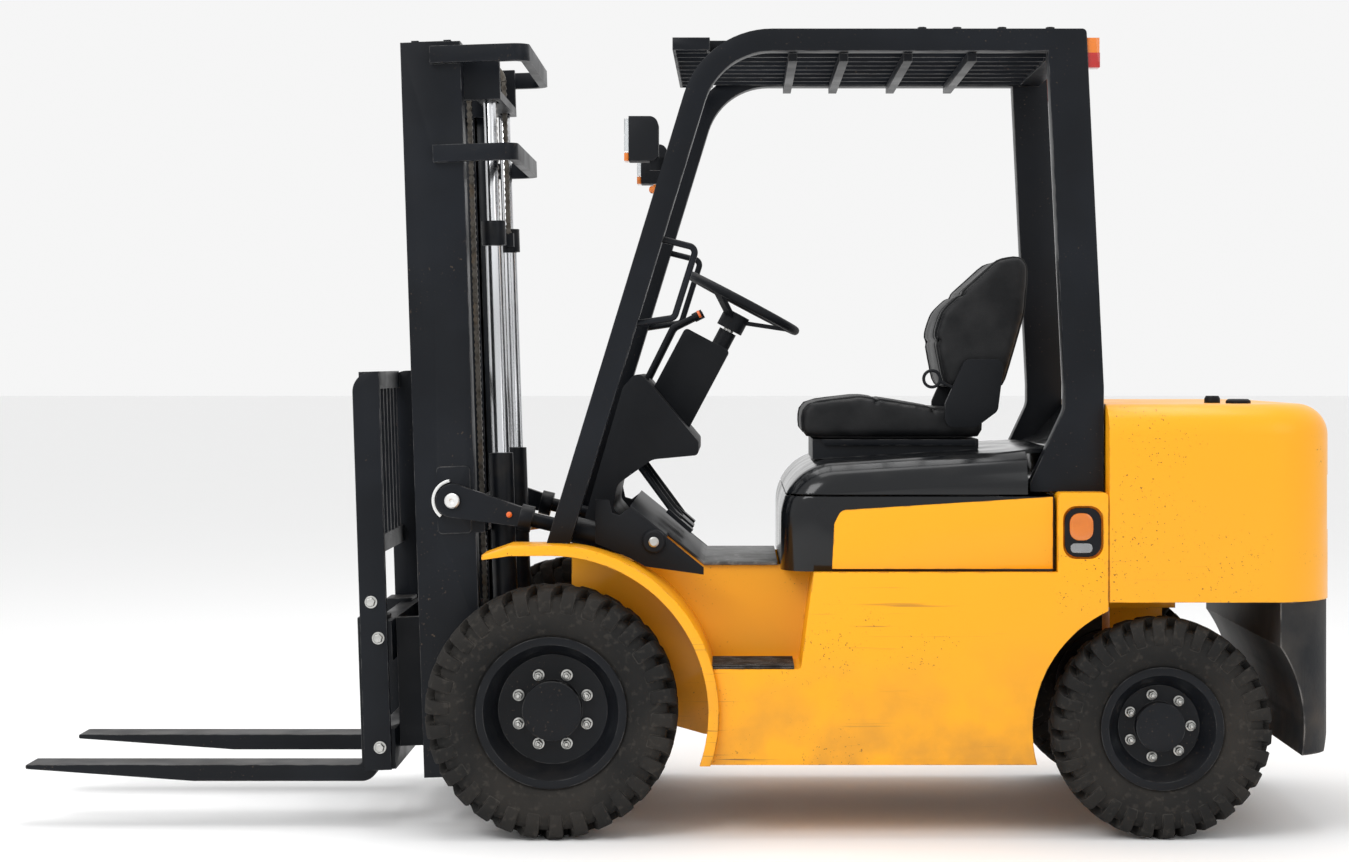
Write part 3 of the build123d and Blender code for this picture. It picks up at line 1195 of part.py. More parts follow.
def fork():
    """Left fork: shank along the mast, level blade that tapers to its tip, and the upper hook."""
    rear_u = CARRIAGE_BAR_U + CARRIAGE_BAR_T
    front_u = rear_u + FORK_T
    top_w = CARRIAGE_LOW_W + CARRIAGE_HEIGHT
    low_z = FORK_TOP_Z - FORK_T
    tip_x = fork_face_x() + FORK_LENGTH
    rear_x = on_mast(rear_u, on_upright(rear_u, low_z)[1])[0]
    face = face_of([
        on_mast(rear_u, top_w + SKIN), on_mast(front_u, top_w + SKIN), (fork_face_x(), FORK_TOP_Z, SKIN),
        (tip_x, FORK_TOP_Z), (tip_x, FORK_TOP_Z - FORK_TIP_T), (fork_face_x() + FORK_LENGTH / 2, low_z),
        (rear_x, low_z, FORK_T),
    ])
    y_range = (FORK_Y - FORK_WIDTH / 2, FORK_Y + FORK_WIDTH / 2)
    hook = block((CARRIAGE_BAR_U + CARRIAGE_BAR_T / 3, rear_u + SKIN), y_range, (top_w, top_w + SKIN))
    return slab(face, *y_range) + mast_frame() * hook


def tilt_length():
    """Distance between the two pins of a tilt cylinder."""
    return math.hypot(TILT_PIN_X - TILT_BASE_X, TILT_PIN_Z - TILT_BASE_Z)


def tilt_frame():
    """Place of the left tilt cylinder, which lies along local X from its foot."""
    rise = math.degrees(math.atan2(TILT_PIN_Z - TILT_BASE_Z, TILT_PIN_X - TILT_BASE_X))
    return Pos(TILT_BASE_X, TILT_Y, TILT_BASE_Z) * Rot(0, -rise, 0)


def bar_x(radius, low_x, high_x):
    """Round bar along local X."""
    return extrude(Plane.YZ.offset(low_x) * Circle(radius), amount=high_x - low_x)


def tilt_barrel():
    """Left tilt cylinder barrel with its foot eye."""
    half_eye = TILT_EYE_W / 2
    barrel = bar_y(0, 0, TILT_BARREL_R, -half_eye, half_eye) + bar_x(TILT_BARREL_R, TILT_BARREL_R / 2, TILT_BARREL_LENGTH)
    barrel -= bar_y(0, 0, TILT_PIN_R + FIT, -2 * half_eye, 2 * half_eye)
    return tilt_frame() * (barrel - bar_x(TILT_ROD_R + FIT, TILT_BARREL_R, TILT_BARREL_LENGTH + SKIN))


def tilt_rod():
    """Left tilt rod with its collar, tapered arm and eye."""
    length = tilt_length()
    half_eye = TILT_EYE_W / 2
    arm_x = length - TILT_ARM_LENGTH
    collar_x = arm_x - TILT_COLLAR_LENGTH
    arm_face = face_of([
        (arm_x, -TILT_BARREL_R * 3 / 4), (arm_x, TILT_BARREL_R * 3 / 4), (length, TILT_EYE_R), (length, -TILT_EYE_R),
    ])
    eye = slab(arm_face + Pos(length, 0) * Circle(TILT_EYE_R), -half_eye, half_eye)
    eye -= bar_y(length, 0, TILT_PIN_R + TILT_PIN_PLAY, -2 * half_eye, 2 * half_eye)
    rod = bar_x(TILT_ROD_R, length - TILT_ROD_LENGTH, arm_x) + bar_x(TILT_BARREL_R, collar_x, arm_x)
    return tilt_frame() * (eye + rod)


def on_centre(pieces):
    """Fixed and moving pieces that are made whole."""
    guard = guard_frame()
    cowl_solid = cowl()
    pieces.update({
        "body_frame": body_frame(), "floor_plate": floor_plate(), "front_axle": front_axle(),
        "steer_axle": steer_axle(), "counterweight": counterweight(), "rear_bumper": rear_bumper(),
        "radiator_grille": radiator_grille(), "tow_lug": tow_lug(), "rear_deck": rear_deck(),
        "guard_frame": guard, "guard_roof": guard_roof(), "cowl": cowl_solid,
        "steering_column": steering_column(cowl_solid), "steering_wheel": steering_wheel(),
        "control_levers": control_levers(cowl_solid), "pedals": pedals(cowl_solid),
        "engine_block": engine_block(), "hood": hood(), "hood_surround": hood_surround(), "seat_base": seat_base(),
        "seat_cushion": seat_cushion(), "seat_back": seat_back(),
        "mast_outer": mast_outer(), "mast_inner": mast_inner(), "carriage": carriage(), "backrest": backrest(),
        "grab_bars": both_sides(grab_bar(guard)), "headlamps": both_sides(headlamps(guard)),
        "front_fenders": both_sides(front_fender()),
        "headlamp_lenses": both_sides(headlamp_lenses()), "hood_side_panels": both_sides(hood_side_panels()),
        "seat_covers": both_sides(seat_covers()),
        "signal_lamps": both_sides(indicator_lamps() + rear_lamps(guard) + side_lamps()),
    })
    for name, strand in (
        ("lift_barrels", lift_barrels()), ("lift_rods", lift_rods()), ("chain_sheaves", chain_sheaves() + chain_wraps()),
        ("chain_anchor_runs", chain_anchor_runs()),
        ("chain_lift_runs", chain_lift_runs()),
    ):
        pieces[name] = mast_frame() * both_sides(strand)


def in_pairs(pieces):
    """Pieces of which the left and the right one are nodes of their own."""
    for name, solid in (
        ("fork", fork()), ("tilt_barrel", tilt_barrel()), ("tilt_rod", tilt_rod()), ("knuckle", knuckle()),
    ):
        pieces[f"{name}_left"] = solid
        pieces[f"{name}_right"] = mirror(solid, about=Plane.XZ)
    wheel_pieces(pieces, "front", 0, FRONT_WHEEL_Y, FRONT_TYRE_R,
                 tyre(FRONT_TYRE_R, FRONT_TYRE_W, FRONT_CROWN_W, FRONT_BEAD_R, FRONT_BEAD_W),
                 wheel(FRONT_BEAD_R, FRONT_BEAD_W, FRONT_HUB_R))
    wheel_pieces(pieces, "rear", REAR_AXLE_X, REAR_WHEEL_Y, REAR_AXLE_Z,
                 tyre(REAR_TYRE_R, REAR_TYRE_W, REAR_CROWN_W, REAR_BEAD_R, REAR_BEAD_W),
                 wheel(REAR_BEAD_R, REAR_BEAD_W, REAR_HUB_R))


def truck():
    """Every piece by name, in the truck's own frame with the origin under its middle."""
    pieces = {}
    on_centre(pieces)
    in_pairs(pieces)
    middle_x = (fork_face_x() + FORK_LENGTH + REAR_X) / 2
    return {name: Pos(-middle_x, 0, 0) * solid for name, solid in pieces.items()}


os.makedirs("parts", exist_ok=True)
for node, solid in truck().items():
    export_step(solid, f"parts/{node}.step")
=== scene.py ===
"""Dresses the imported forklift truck: finishes, tyres, chains, seat, fittings, camera and light."""
import json
import math

import bpy
import bmesh
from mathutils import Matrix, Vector
from mathutils.bvhtree import BVHTree


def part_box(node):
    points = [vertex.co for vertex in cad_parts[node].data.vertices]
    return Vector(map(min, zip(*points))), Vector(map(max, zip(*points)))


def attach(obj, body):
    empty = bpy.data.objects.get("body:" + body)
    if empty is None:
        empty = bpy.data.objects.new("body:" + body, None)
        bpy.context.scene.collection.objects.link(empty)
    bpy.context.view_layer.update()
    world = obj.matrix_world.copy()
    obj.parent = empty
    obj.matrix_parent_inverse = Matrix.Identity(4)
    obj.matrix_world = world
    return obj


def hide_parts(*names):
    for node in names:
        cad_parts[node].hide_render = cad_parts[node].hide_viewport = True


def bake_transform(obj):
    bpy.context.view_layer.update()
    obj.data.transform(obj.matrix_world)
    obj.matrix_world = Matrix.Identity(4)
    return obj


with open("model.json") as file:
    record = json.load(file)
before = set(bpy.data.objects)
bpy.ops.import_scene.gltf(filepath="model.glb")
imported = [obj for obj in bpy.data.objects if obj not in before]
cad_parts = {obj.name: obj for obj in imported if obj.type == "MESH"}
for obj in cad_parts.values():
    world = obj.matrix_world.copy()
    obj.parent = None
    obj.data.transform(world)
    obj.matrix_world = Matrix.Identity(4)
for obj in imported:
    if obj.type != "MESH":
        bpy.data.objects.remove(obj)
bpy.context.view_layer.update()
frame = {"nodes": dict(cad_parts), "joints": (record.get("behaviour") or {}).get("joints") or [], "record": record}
scene = bpy.context.scene
NODES = frame["nodes"]
JOINTS = {joint["name"]: joint for joint in frame["joints"]}
NODE_SLOTS = {part["node"]: part["material_slot"] for part in frame["record"]["subparts"]}
SIDES = (("left", 1), ("right", -1))
FULL_TURN = 2 * math.pi

# Places that the joints give
FRONT_HUB = Vector(JOINTS["front_wheel_left_roll"]["pos_m"])
AXLE = Vector((FRONT_HUB.x, 0, FRONT_HUB.z))
MAST_UP = Vector(JOINTS["mast_lift"]["axis"])
MAST_FORE = Vector((MAST_UP.z, 0, -MAST_UP.x))

# Photograph's camera
IMAGE_WIDTH = 1349
IMAGE_HEIGHT = 862
SENSOR = 36.0
LENS = 69.04
EYE = Vector((AXLE.x - 0.496, 7.48, 1.28))
EYE_PIXEL = (736, 362)


def from_axle(x, y, z):
    """Point given forward of the front axle, to the left and above the floor."""
    return Vector((AXLE.x + x, y, z))


def on_mast(u, y, w):
    """Point given forward of and up along the mast from the front axle."""
    return AXLE + MAST_FORE * u + MAST_UP * w + Vector((0, y, 0))


def arc(centre, radius, first, last, steps):
    """Points of an arc as pairs, from one angle to another."""
    angles = [first + (last - first) * i / steps for i in range(steps + 1)]
    return [(centre[0] + radius * math.cos(angle), centre[1] + radius * math.sin(angle)) for angle in angles]


def circle(centre, across, beside, radius, sides):
    """Points of a circle in the plane of two unit vectors."""
    points = []
    for i in range(sides):
        angle = FULL_TURN * i / sides
        points.append(centre + (across * math.cos(angle) + beside * math.sin(angle)) * radius)
    return points


# Height of a face's normal where dust starts to lie, and where it lies fully
DUST_SLOPE = (0.35, 0.95)
# Agreement of a face's normal with the rounded one, on flats and on worn edges
EDGE_BEND = (0.985, 0.86)
EDGE_SAMPLES = 4
# Sockets of the mixing node for colours and for numbers: first, second and result
MIX_COLOUR = (6, 7, 2)
MIX_NUMBER = (2, 3, 0)


class Look:
    """Node tree of one material, with short calls for what the surfaces share."""

    def __init__(self, name, colour, roughness, metallic=0.0, specular=0.5):
        self.material = bpy.data.materials.new(name)
        self.material.use_nodes = True
        self.tree = self.material.node_tree
        self.shader = self.tree.nodes["Principled BSDF"]
        self.shader.inputs["Base Color"].default_value = (*colour, 1)
        self.shader.inputs["Roughness"].default_value = roughness
        self.shader.inputs["Metallic"].default_value = metallic
        self.shader.inputs["Specular IOR Level"].default_value = specular
        self.place = self.add("ShaderNodeTexCoord").outputs["Object"]

    def add(self, kind, **values):
        node = self.tree.nodes.new(kind)
        for key, value in values.items():
            setattr(node, key, value)
        return node

    def put(self, socket, value):
        if isinstance(value, bpy.types.NodeSocket):
            self.tree.links.new(value, socket)
        else:
            socket.default_value = value

    def noise(self, scale, detail=3.0, stretch=None):
        """Noise from 0 to 1 with a scale in waves per metre, drawn out along an axis if stretch says so."""
        node = self.add("ShaderNodeTexNoise")
        vector = self.place
        if stretch:
            mapping = self.add("ShaderNodeMapping")
            mapping.inputs["Scale"].default_value = stretch
            self.put(mapping.inputs["Vector"], vector)
            vector = mapping.outputs["Vector"]
        self.put(node.inputs["Vector"], vector)
        node.inputs["Scale"].default_value = scale
        node.inputs["Detail"].default_value = detail
        return node.outputs[0]

    def cells(self, scale):
        """Distance to the nearest of scattered points, for grain."""
        node = self.add("ShaderNodeTexVoronoi")
        self.put(node.inputs["Vector"], self.place)
        node.inputs["Scale"].default_value = scale
        return node.outputs["Distance"]

    def span(self, value, low, high):
        """0 where value is low or beyond, 1 where it is high or beyond."""
        node = self.add("ShaderNodeMapRange")
        self.put(node.inputs["Value"], value)
        node.inputs["From Min"].default_value = low
        node.inputs["From Max"].default_value = high
        return node.outputs["Result"]

    def patches(self, scale, low, high, detail=3.0):
        """1 in patches where noise is high, 0 where it is low."""
        return self.span(self.noise(scale, detail), low, high)

    def times(self, *values):
        product = values[0]
        for value in values[1:]:
            node = self.add("ShaderNodeMath", operation="MULTIPLY")
            self.put(node.inputs[0], product)
            self.put(node.inputs[1], value)
            product = node.outputs[0]
        return product

    def part(self, vector, axis):
        node = self.add("ShaderNodeSeparateXYZ")
        self.put(node.inputs[0], vector)
        return node.outputs[axis]

    def height(self, low, high):
        """Goes from 0 to 1 as the surface's height goes from low to high."""
        return self.span(self.part(self.place, "Z"), low, high)

    def facing_up(self):
        """1 on faces that look up, 0 on walls."""
        return self.span(self.part(self.add("ShaderNodeNewGeometry").outputs["Normal"], "Z"), *DUST_SLOPE)

    def edges(self, radius):
        """1 along sharp edges, 0 on flats."""
        bevel = self.add("ShaderNodeBevel", samples=EDGE_SAMPLES)
        bevel.inputs["Radius"].default_value = radius
        dot = self.add("ShaderNodeVectorMath", operation="DOT_PRODUCT")
        self.put(dot.inputs[0], bevel.outputs[0])
        self.put(dot.inputs[1], self.add("ShaderNodeNewGeometry").outputs["Normal"])
        return self.span(dot.outputs["Value"], *EDGE_BEND)

    def mix(self, socket, kind, sockets, amount, value):
        """Put a blend between a socket's present value and another one into the socket."""
        first, second, result = sockets
        before = socket.default_value if kind == "FLOAT" else tuple(socket.default_value)
        node = self.add("ShaderNodeMix", data_type=kind)
        self.put(node.inputs[0], amount)
        self.put(node.inputs[first], socket.links[0].from_socket if socket.is_linked else before)
        node.inputs[second].default_value = value
        self.put(socket, node.outputs[result])

    def tint(self, colour, *amounts):
        """Blend the base colour towards another one by the product of the amounts."""
        self.mix(self.shader.inputs["Base Color"], "RGBA", MIX_COLOUR, self.times(*amounts), (*colour, 1))

    def blend_value(self, name, amount, value):
        """Blend a number of the shader towards another one."""
        self.mix(self.shader.inputs[name], "FLOAT", MIX_NUMBER, amount, value)

    def bump(self, height, distance, strength=1.0):
        socket = self.shader.inputs["Normal"]
        node = self.add("ShaderNodeBump")
        node.inputs["Strength"].default_value = strength
        node.inputs["Distance"].default_value = distance
        self.put(node.inputs["Height"], height)
        if socket.is_linked:
            self.put(node.inputs["Normal"], socket.links[0].from_socket)
        self.put(socket, node.outputs[0])


# Ways that noise is drawn out: along a body side, down a rod, across a lens
LONG_SCRATCHES = (1, 1, 60)
DOWN_ROD = (1, 1, 0.05)
LENS_RIBS = (1, 40, 1)
EVEN = (1, 1, 1)
BLUE_BLACK = (0.0052, 0.0064, 0.0088)
BLACK_SHINE = 0.16
# Heights of the lift barrel's bright tube and of the toe board's foot, with the width of the change
BRIGHT_TUBE_Z = (1.027, 1.605)
TUBE_EDGE = 0.001
TOE_BOARD_Z = 0.736
TOE_BOARD_EDGE = 0.004


def scaled(colour, share):
    """Colour made lighter or darker by a share."""
    return tuple(share * value for value in colour)


def yellow_paint():
    """Glossy yellow with dirt low down, rust specks, long scratches and worn edges."""
    look = Look("yellow_paint", (0.90, 0.385, 0.007), 0.30, 0.0, 0.3)
    look.tint((0.84, 0.34, 0.008), look.patches(1.4, 0.4, 0.7), 0.3)
    grime = look.times(look.height(0.55, 0.2), look.patches(7, 0.38, 0.72, 6), 0.5)
    look.tint((0.20, 0.11, 0.05), grime)
    look.tint((0.07, 0.028, 0.01), look.patches(150, 0.66, 0.72, 2), look.patches(4.5, 0.50, 0.62), 0.85)
    scratches = look.span(look.noise(2.5, 3, LONG_SCRATCHES), 0.66, 0.71)
    look.tint((0.06, 0.045, 0.035), scratches, look.patches(2.0, 0.52, 0.62), look.height(0.85, 0.5), 0.8)
    look.tint((0.10, 0.05, 0.025), look.edges(0.006), look.patches(28, 0.47, 0.62, 4), 0.85)
    look.blend_value("Roughness", look.patches(9, 0.35, 0.75), 0.42)
    look.blend_value("Roughness", grime, 0.75)
    look.bump(look.noise(260, 2), 0.0004, 0.25)
    look.shader.inputs["Coat Weight"].default_value = 0.1
    look.shader.inputs["Coat Roughness"].default_value = 0.15
    return look.material


def black_paint(name, colour=BLUE_BLACK, roughness=0.34, wear_amount=0.5, dust=0.3):
    """Blue-black paint with dust on top faces, brown specks and edges worn to grey metal."""
    look = Look(name, colour, roughness, 0.0, BLACK_SHINE)
    look.tint(scaled(colour, 2.2), look.patches(3.5, 0.4, 0.75), 0.6)
    look.tint((0.07, 0.06, 0.05), look.facing_up(), look.patches(11, 0.35, 0.7, 5), dust)
    look.tint((0.14, 0.10, 0.07), look.patches(130, 0.68, 0.74, 2), look.patches(5, 0.5, 0.62), 0.5)
    look.tint((0.23, 0.225, 0.22), look.edges(0.004), look.patches(24, 0.42, 0.62, 4), wear_amount)
    look.blend_value("Roughness", look.patches(8, 0.35, 0.75), roughness + 0.14)
    look.bump(look.noise(300, 2), 0.0004, 0.2)
    return look.material


def cast_dark():
    """Rough dark casting, scuffed grey along its edges."""
    look = Look("cast_dark", (0.012, 0.013, 0.015), 0.6, 0.0, 0.2)
    look.tint((0.055, 0.05, 0.045), look.patches(6, 0.42, 0.75, 5), 0.7)
    look.tint((0.22, 0.21, 0.20), look.edges(0.008), look.patches(18, 0.38, 0.58, 4))
    look.tint((0.12, 0.09, 0.065), look.height(0.45, 0.2), look.patches(9, 0.4, 0.7, 6), 0.6)
    look.bump(look.noise(90, 5), 0.0015, 0.5)
    return look.material


def engine_iron():
    """Oily grey casting."""
    look = Look("engine_iron", (0.10, 0.10, 0.10), 0.55, 0.4)
    look.tint((0.035, 0.03, 0.026), look.patches(8, 0.4, 0.7, 5), 0.8)
    look.bump(look.noise(70, 4), 0.002, 0.5)
    return look.material


def hood_plastic():
    """Glossy black moulding with faint dust."""
    look = Look("hood_plastic", (0.004, 0.0048, 0.006), 0.14, 0.0, 0.3)
    look.tint((0.08, 0.075, 0.07), look.facing_up(), look.patches(14, 0.45, 0.75, 6), 0.25)
    look.blend_value("Roughness", look.patches(6, 0.4, 0.75, 4), 0.28)
    look.bump(look.noise(60, 2), 0.0006, 0.12)
    look.shader.inputs["Coat Weight"].default_value = 0.12
    look.shader.inputs["Coat Roughness"].default_value = 0.08
    return look.material


def black_plastic():
    """Grained black moulding."""
    look = Look("black_plastic", (0.0065, 0.0075, 0.0095), 0.48, 0.0, BLACK_SHINE)
    look.tint((0.09, 0.082, 0.075), look.facing_up(), look.patches(12, 0.42, 0.7, 5), 0.3)
    look.tint((0.08, 0.08, 0.082), look.edges(0.004), look.patches(20, 0.45, 0.65), 0.35)
    look.blend_value("Roughness", look.patches(7, 0.4, 0.7), 0.62)
    look.bump(look.cells(700), 0.0004, 0.5)
    return look.material


def tyre_rubber():
    """Grey-black rubber with brown dust in broad patches and along the tread."""
    look = Look("tyre_rubber", (0.012, 0.0118, 0.0115), 0.78, 0.0, 0.18)
    look.tint((0.05, 0.043, 0.036), look.patches(5, 0.40, 0.72, 6), 0.4)
    look.tint((0.07, 0.061, 0.052), look.patches(60, 0.56, 0.70, 4), 0.3)
    look.tint((0.085, 0.078, 0.07), look.edges(0.005), look.patches(30, 0.4, 0.6), 0.5)
    look.bump(look.noise(180, 5), 0.0012, 0.5)
    return look.material


def bare_steel(name, colour, roughness, stretch, streak=0.35):
    """Bare metal with streaks along one way."""
    look = Look(name, colour, roughness, 1.0)
    streaks = look.span(look.noise(40, 3, stretch), 0.4, 0.7)
    look.tint(scaled(colour, 0.55), streaks, streak)
    look.blend_value("Roughness", streaks, roughness + 0.12)
    look.bump(look.noise(120, 2, stretch), 0.0002, 0.3)
    return look.material


def chain_steel():
    """Oiled dark chain steel with brown in its joints."""
    look = Look("chain_steel", (0.17, 0.155, 0.135), 0.34, 0.85)
    look.tint((0.05, 0.04, 0.03), look.patches(55, 0.45, 0.68, 4), 0.75)
    look.tint((0.22, 0.14, 0.07), look.patches(16, 0.55, 0.7, 3), 0.5)
    look.bump(look.noise(160, 3), 0.0004, 0.4)
    return look.material


def floor_tread():
    """Worn grey tread plate whose sloped toe board is black."""
    look = Look("floor_tread", (0.15, 0.15, 0.148), 0.5, 0.35, 0.4)
    look.tint((0.04, 0.037, 0.033), look.patches(12, 0.42, 0.7, 6), 0.8)
    look.tint((0.30, 0.295, 0.285), look.patches(45, 0.55, 0.72, 4), 0.6)
    slope = look.height(TOE_BOARD_Z - TOE_BOARD_EDGE, TOE_BOARD_Z + TOE_BOARD_EDGE)
    look.tint((0.006, 0.007, 0.009), slope)
    look.blend_value("Metallic", slope, 0.0)
    look.bump(look.noise(80, 4), 0.0012, 0.5)
    return look.material


def seat_vinyl():
    """Fine-grained black vinyl, shinier where it is sat on."""
    look = Look("seat_vinyl", (0.0055, 0.006, 0.007), 0.42, 0.0, 0.2)
    look.tint((0.032, 0.032, 0.033), look.patches(9, 0.42, 0.72, 5), 0.5)
    look.tint((0.085, 0.08, 0.074), look.facing_up(), look.patches(16, 0.45, 0.7, 5), 0.25)
    look.blend_value("Roughness", look.patches(6, 0.4, 0.7), 0.56)
    look.bump(look.cells(420), 0.0006, 0.45)
    look.bump(look.noise(28, 4), 0.002, 0.25)
    return look.material


def lens(name, colour, transmission, roughness=0.08):
    """Moulded lens with fine ribs inside."""
    look = Look(name, colour, roughness)
    look.tint(scaled(colour, 0.6), look.patches(25, 0.45, 0.7, 3), 0.25)
    look.bump(look.noise(6, 1, LENS_RIBS), 0.001, 0.35)
    look.shader.inputs["Transmission Weight"].default_value = transmission
    look.shader.inputs["Coat Weight"].default_value = 0.5
    return look.material


def lift_cylinder():
    """Black barrel and gland with a bright tube between them."""
    look = Look("lift_cylinder", BLUE_BLACK, 0.34, 0.0, BLACK_SHINE)
    low_z, high_z = BRIGHT_TUBE_Z
    bright = look.times(look.height(low_z - TUBE_EDGE, low_z + TUBE_EDGE),
                        look.height(high_z + TUBE_EDGE, high_z - TUBE_EDGE))
    look.tint((0.02, 0.018, 0.016), look.patches(20, 0.45, 0.7, 4), 0.5)
    look.tint((0.62, 0.63, 0.65), bright)
    look.blend_value("Metallic", bright, 1.0)
    look.blend_value("Roughness", bright, 0.2)
    look.bump(look.noise(120, 2, DOWN_ROD), 0.0002, 0.3)
    return look.material


# Material of each slot
LOOKS = {
    "yellow_paint": yellow_paint(),
    "black_paint": black_paint("black_paint"),
    "wheel_paint": black_paint("wheel_paint", (0.0055, 0.0062, 0.0078), 0.34, 0.4, 0.2),
    "fork_steel": black_paint("fork_steel", (0.0055, 0.0066, 0.0085), 0.42, 0.9, 0.4),
    "cast_dark": cast_dark(),
    "engine_iron": engine_iron(),
    "hood_plastic": hood_plastic(),
    "black_plastic": black_plastic(),
    "tyre": tyre_rubber(),
    "chrome_rod": bare_steel("chrome_rod", (0.72, 0.73, 0.75), 0.16, DOWN_ROD, 0.15),
    "chain_steel": chain_steel(),
    "tread_steel": floor_tread(),
    "seat_vinyl": seat_vinyl(),
    "amber_lens": lens("amber_lens", (0.85, 0.22, 0.012), 0.25),
    "clear_lens": lens("clear_lens", (0.85, 0.88, 0.9), 0.75),
}
RED_LENS = lens("red_lens", (0.55, 0.012, 0.01), 0.25)
ZINC = bare_steel("zinc_fastener", (0.52, 0.52, 0.50), 0.34, EVEN, 0.5)
WHITE_METAL = bare_steel("white_metal", (0.80, 0.80, 0.79), 0.42, EVEN, 0.2)
ORANGE = lens("orange_plastic", (0.75, 0.13, 0.01), 0.0, 0.35)
STEP_TREAD = black_paint("step_tread", (0.012, 0.011, 0.010), 0.6, 1.0, 1.0)

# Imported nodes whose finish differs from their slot's
NODE_LOOKS = {"lift_barrels": lift_cylinder()}

# Edges that stay sharp in shading, and edges that are rounded
SHARP_ABOVE = math.radians(32)
ROUNDED_ABOVE = math.radians(40)
ROUNDING_STEPS = 2
WELD_GAP = 0.00001


def smooth_by_angle():
    """Node group that shades smooth and keeps edges over an angle sharp."""
    group = bpy.data.node_groups.new("smooth_by_angle", "GeometryNodeTree")
    for way in ("INPUT", "OUTPUT"):
        group.interface.new_socket("Geometry", in_out=way, socket_type="NodeSocketGeometry")
    start = group.nodes.new("NodeGroupInput")
    end = group.nodes.new("NodeGroupOutput")
    faces = group.nodes.new("GeometryNodeSetShadeSmooth")
    edges = group.nodes.new("GeometryNodeSetShadeSmooth")
    edges.domain = "EDGE"
    edges.inputs["Shade Smooth"].default_value = False
    angle = group.nodes.new("GeometryNodeInputMeshEdgeAngle")
    over = group.nodes.new("FunctionNodeCompare")
    over.inputs[1].default_value = SHARP_ABOVE
    links = group.links
    links.new(start.outputs[0], faces.inputs["Geometry"])
    links.new(faces.outputs[0], edges.inputs["Geometry"])
    links.new(angle.outputs["Unsigned Angle"], over.inputs[0])
    links.new(over.outputs[0], edges.inputs["Selection"])
    links.new(edges.outputs[0], end.inputs[0])
    return group


SMOOTH = smooth_by_angle()


def soften(obj, bevel):
    """Round an object's sharp edges a little and shade its curves smooth."""
    weld = obj.modifiers.new("weld", "WELD")
    weld.merge_threshold = WELD_GAP
    if bevel:
        rounding = obj.modifiers.new("rounding", "BEVEL")
        rounding.width = bevel
        rounding.segments = ROUNDING_STEPS
        rounding.limit_method = "ANGLE"
        rounding.angle_limit = ROUNDED_ABOVE
    obj.modifiers.new("smooth", "NODES").node_group = SMOOTH


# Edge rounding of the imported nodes, in metres, where it differs from the usual one
USUAL_ROUNDING = 0.003
ROUNDING = {
    "counterweight": 0.008, "rear_bumper": 0.007, "body_frame": 0.005, "hood": 0.004, "cowl": 0.008,
    "steering_column": 0.006, "rear_deck": 0.006, "front_fenders": 0.002, "grab_bars": 0, "steering_wheel": 0,
    "headlamp_lenses": 0.002, "radiator_grille": 0.0015, "guard_roof": 0.001, "backrest": 0.002,
    "lift_rods": 0.001, "chain_sheaves": 0.001, "seat_covers": 0.008,
}


def dress_nodes():
    """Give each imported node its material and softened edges."""
    for name, node in NODES.items():
        node.data.materials.clear()
        node.data.materials.append(NODE_LOOKS.get(name, LOOKS[NODE_SLOTS[name]]))
        soften(node, ROUNDING.get(name, USUAL_ROUNDING))


class Solid:
    """Vertices and faces of closed shapes that end up in one mesh."""

    def __init__(self):
        self.verts = []
        self.faces = []

    def loft(self, rings, closed=False):
        """Skin between rings of as many points each, capped at both ends unless it closes on itself."""
        base = len(self.verts)
        count = len(rings[0])
        for ring in rings:
            self.verts += [tuple(point) for point in ring]
        spans = len(rings) if closed else len(rings) - 1
        for i in range(spans):
            low = base + i * count
            high = base + (i + 1) % len(rings) * count
            for j in range(count):
                k = (j + 1) % count
                self.faces.append((low + j, low + k, high + k, high + j))
        if not closed:
            last = base + (len(rings) - 1) * count
            self.faces.append(tuple(reversed(range(base, base + count))))
            self.faces.append(tuple(range(last, last + count)))

    def turned(self, centre, axis, profile, sides=24):
        """Solid of revolution with a profile of (along the axis, radius)."""
        axis = Vector(axis).normalized()
        across = axis.orthogonal().normalized()
        beside = axis.cross(across)
        foot = Vector(centre)
        self.loft([circle(foot + axis * along, across, beside, radius, sides) for along, radius in profile])

    def tube(self, points, radius, sides=8, closed=False):
        """Round tube along points."""
        points = [Vector(point) for point in points]
        count = len(points)
        rings = []
        side = None
        for i, point in enumerate(points):
            ahead = points[(i + 1) % count] if closed or i + 1 < count else point
            behind = points[i - 1] if closed or i else point
            way = (ahead - behind).normalized()
            side = way.orthogonal() if side is None else side - way * side.dot(way)
            side.normalize()
            rings.append(circle(point, side, way.cross(side), radius, sides))
        self.loft(rings, closed)

    def slab(self, outline, thickness):
        """Flat plate with an outline of points and a thickness vector."""
        thickness = Vector(thickness)
        self.loft([[Vector(point) for point in outline], [Vector(point) + thickness for point in outline]])


def piece(name, solid, body, look, bevel=0.0):
    """Object from a solid's mesh, which rides on a body."""
    mesh = bpy.data.meshes.new(name)
    mesh.from_pydata(solid.verts, [], solid.faces)
    shape = bmesh.new()
    shape.from_mesh(mesh)
    bmesh.ops.recalc_face_normals(shape, faces=shape.faces)
    shape.to_mesh(mesh)
    shape.free()
    obj = bpy.data.objects.new(name, mesh)
    scene.collection.objects.link(obj)
    mesh.materials.append(look)
    if body:
        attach(obj, body)
    soften(obj, bevel)
    return obj


def slot_piece(name, solid, body, slot, bevel=0.0):
    """Piece with the material of a slot."""
    return piece(name, solid, body, LOOKS[slot], bevel)


def turned_piece(name, place, axis, profile, sides, body, look, bevel=0.0):
    """Piece that is one solid of revolution."""
    solid = Solid()
    solid.turned(place, axis, profile, sides)
    return piece(name, solid, body, look, bevel)


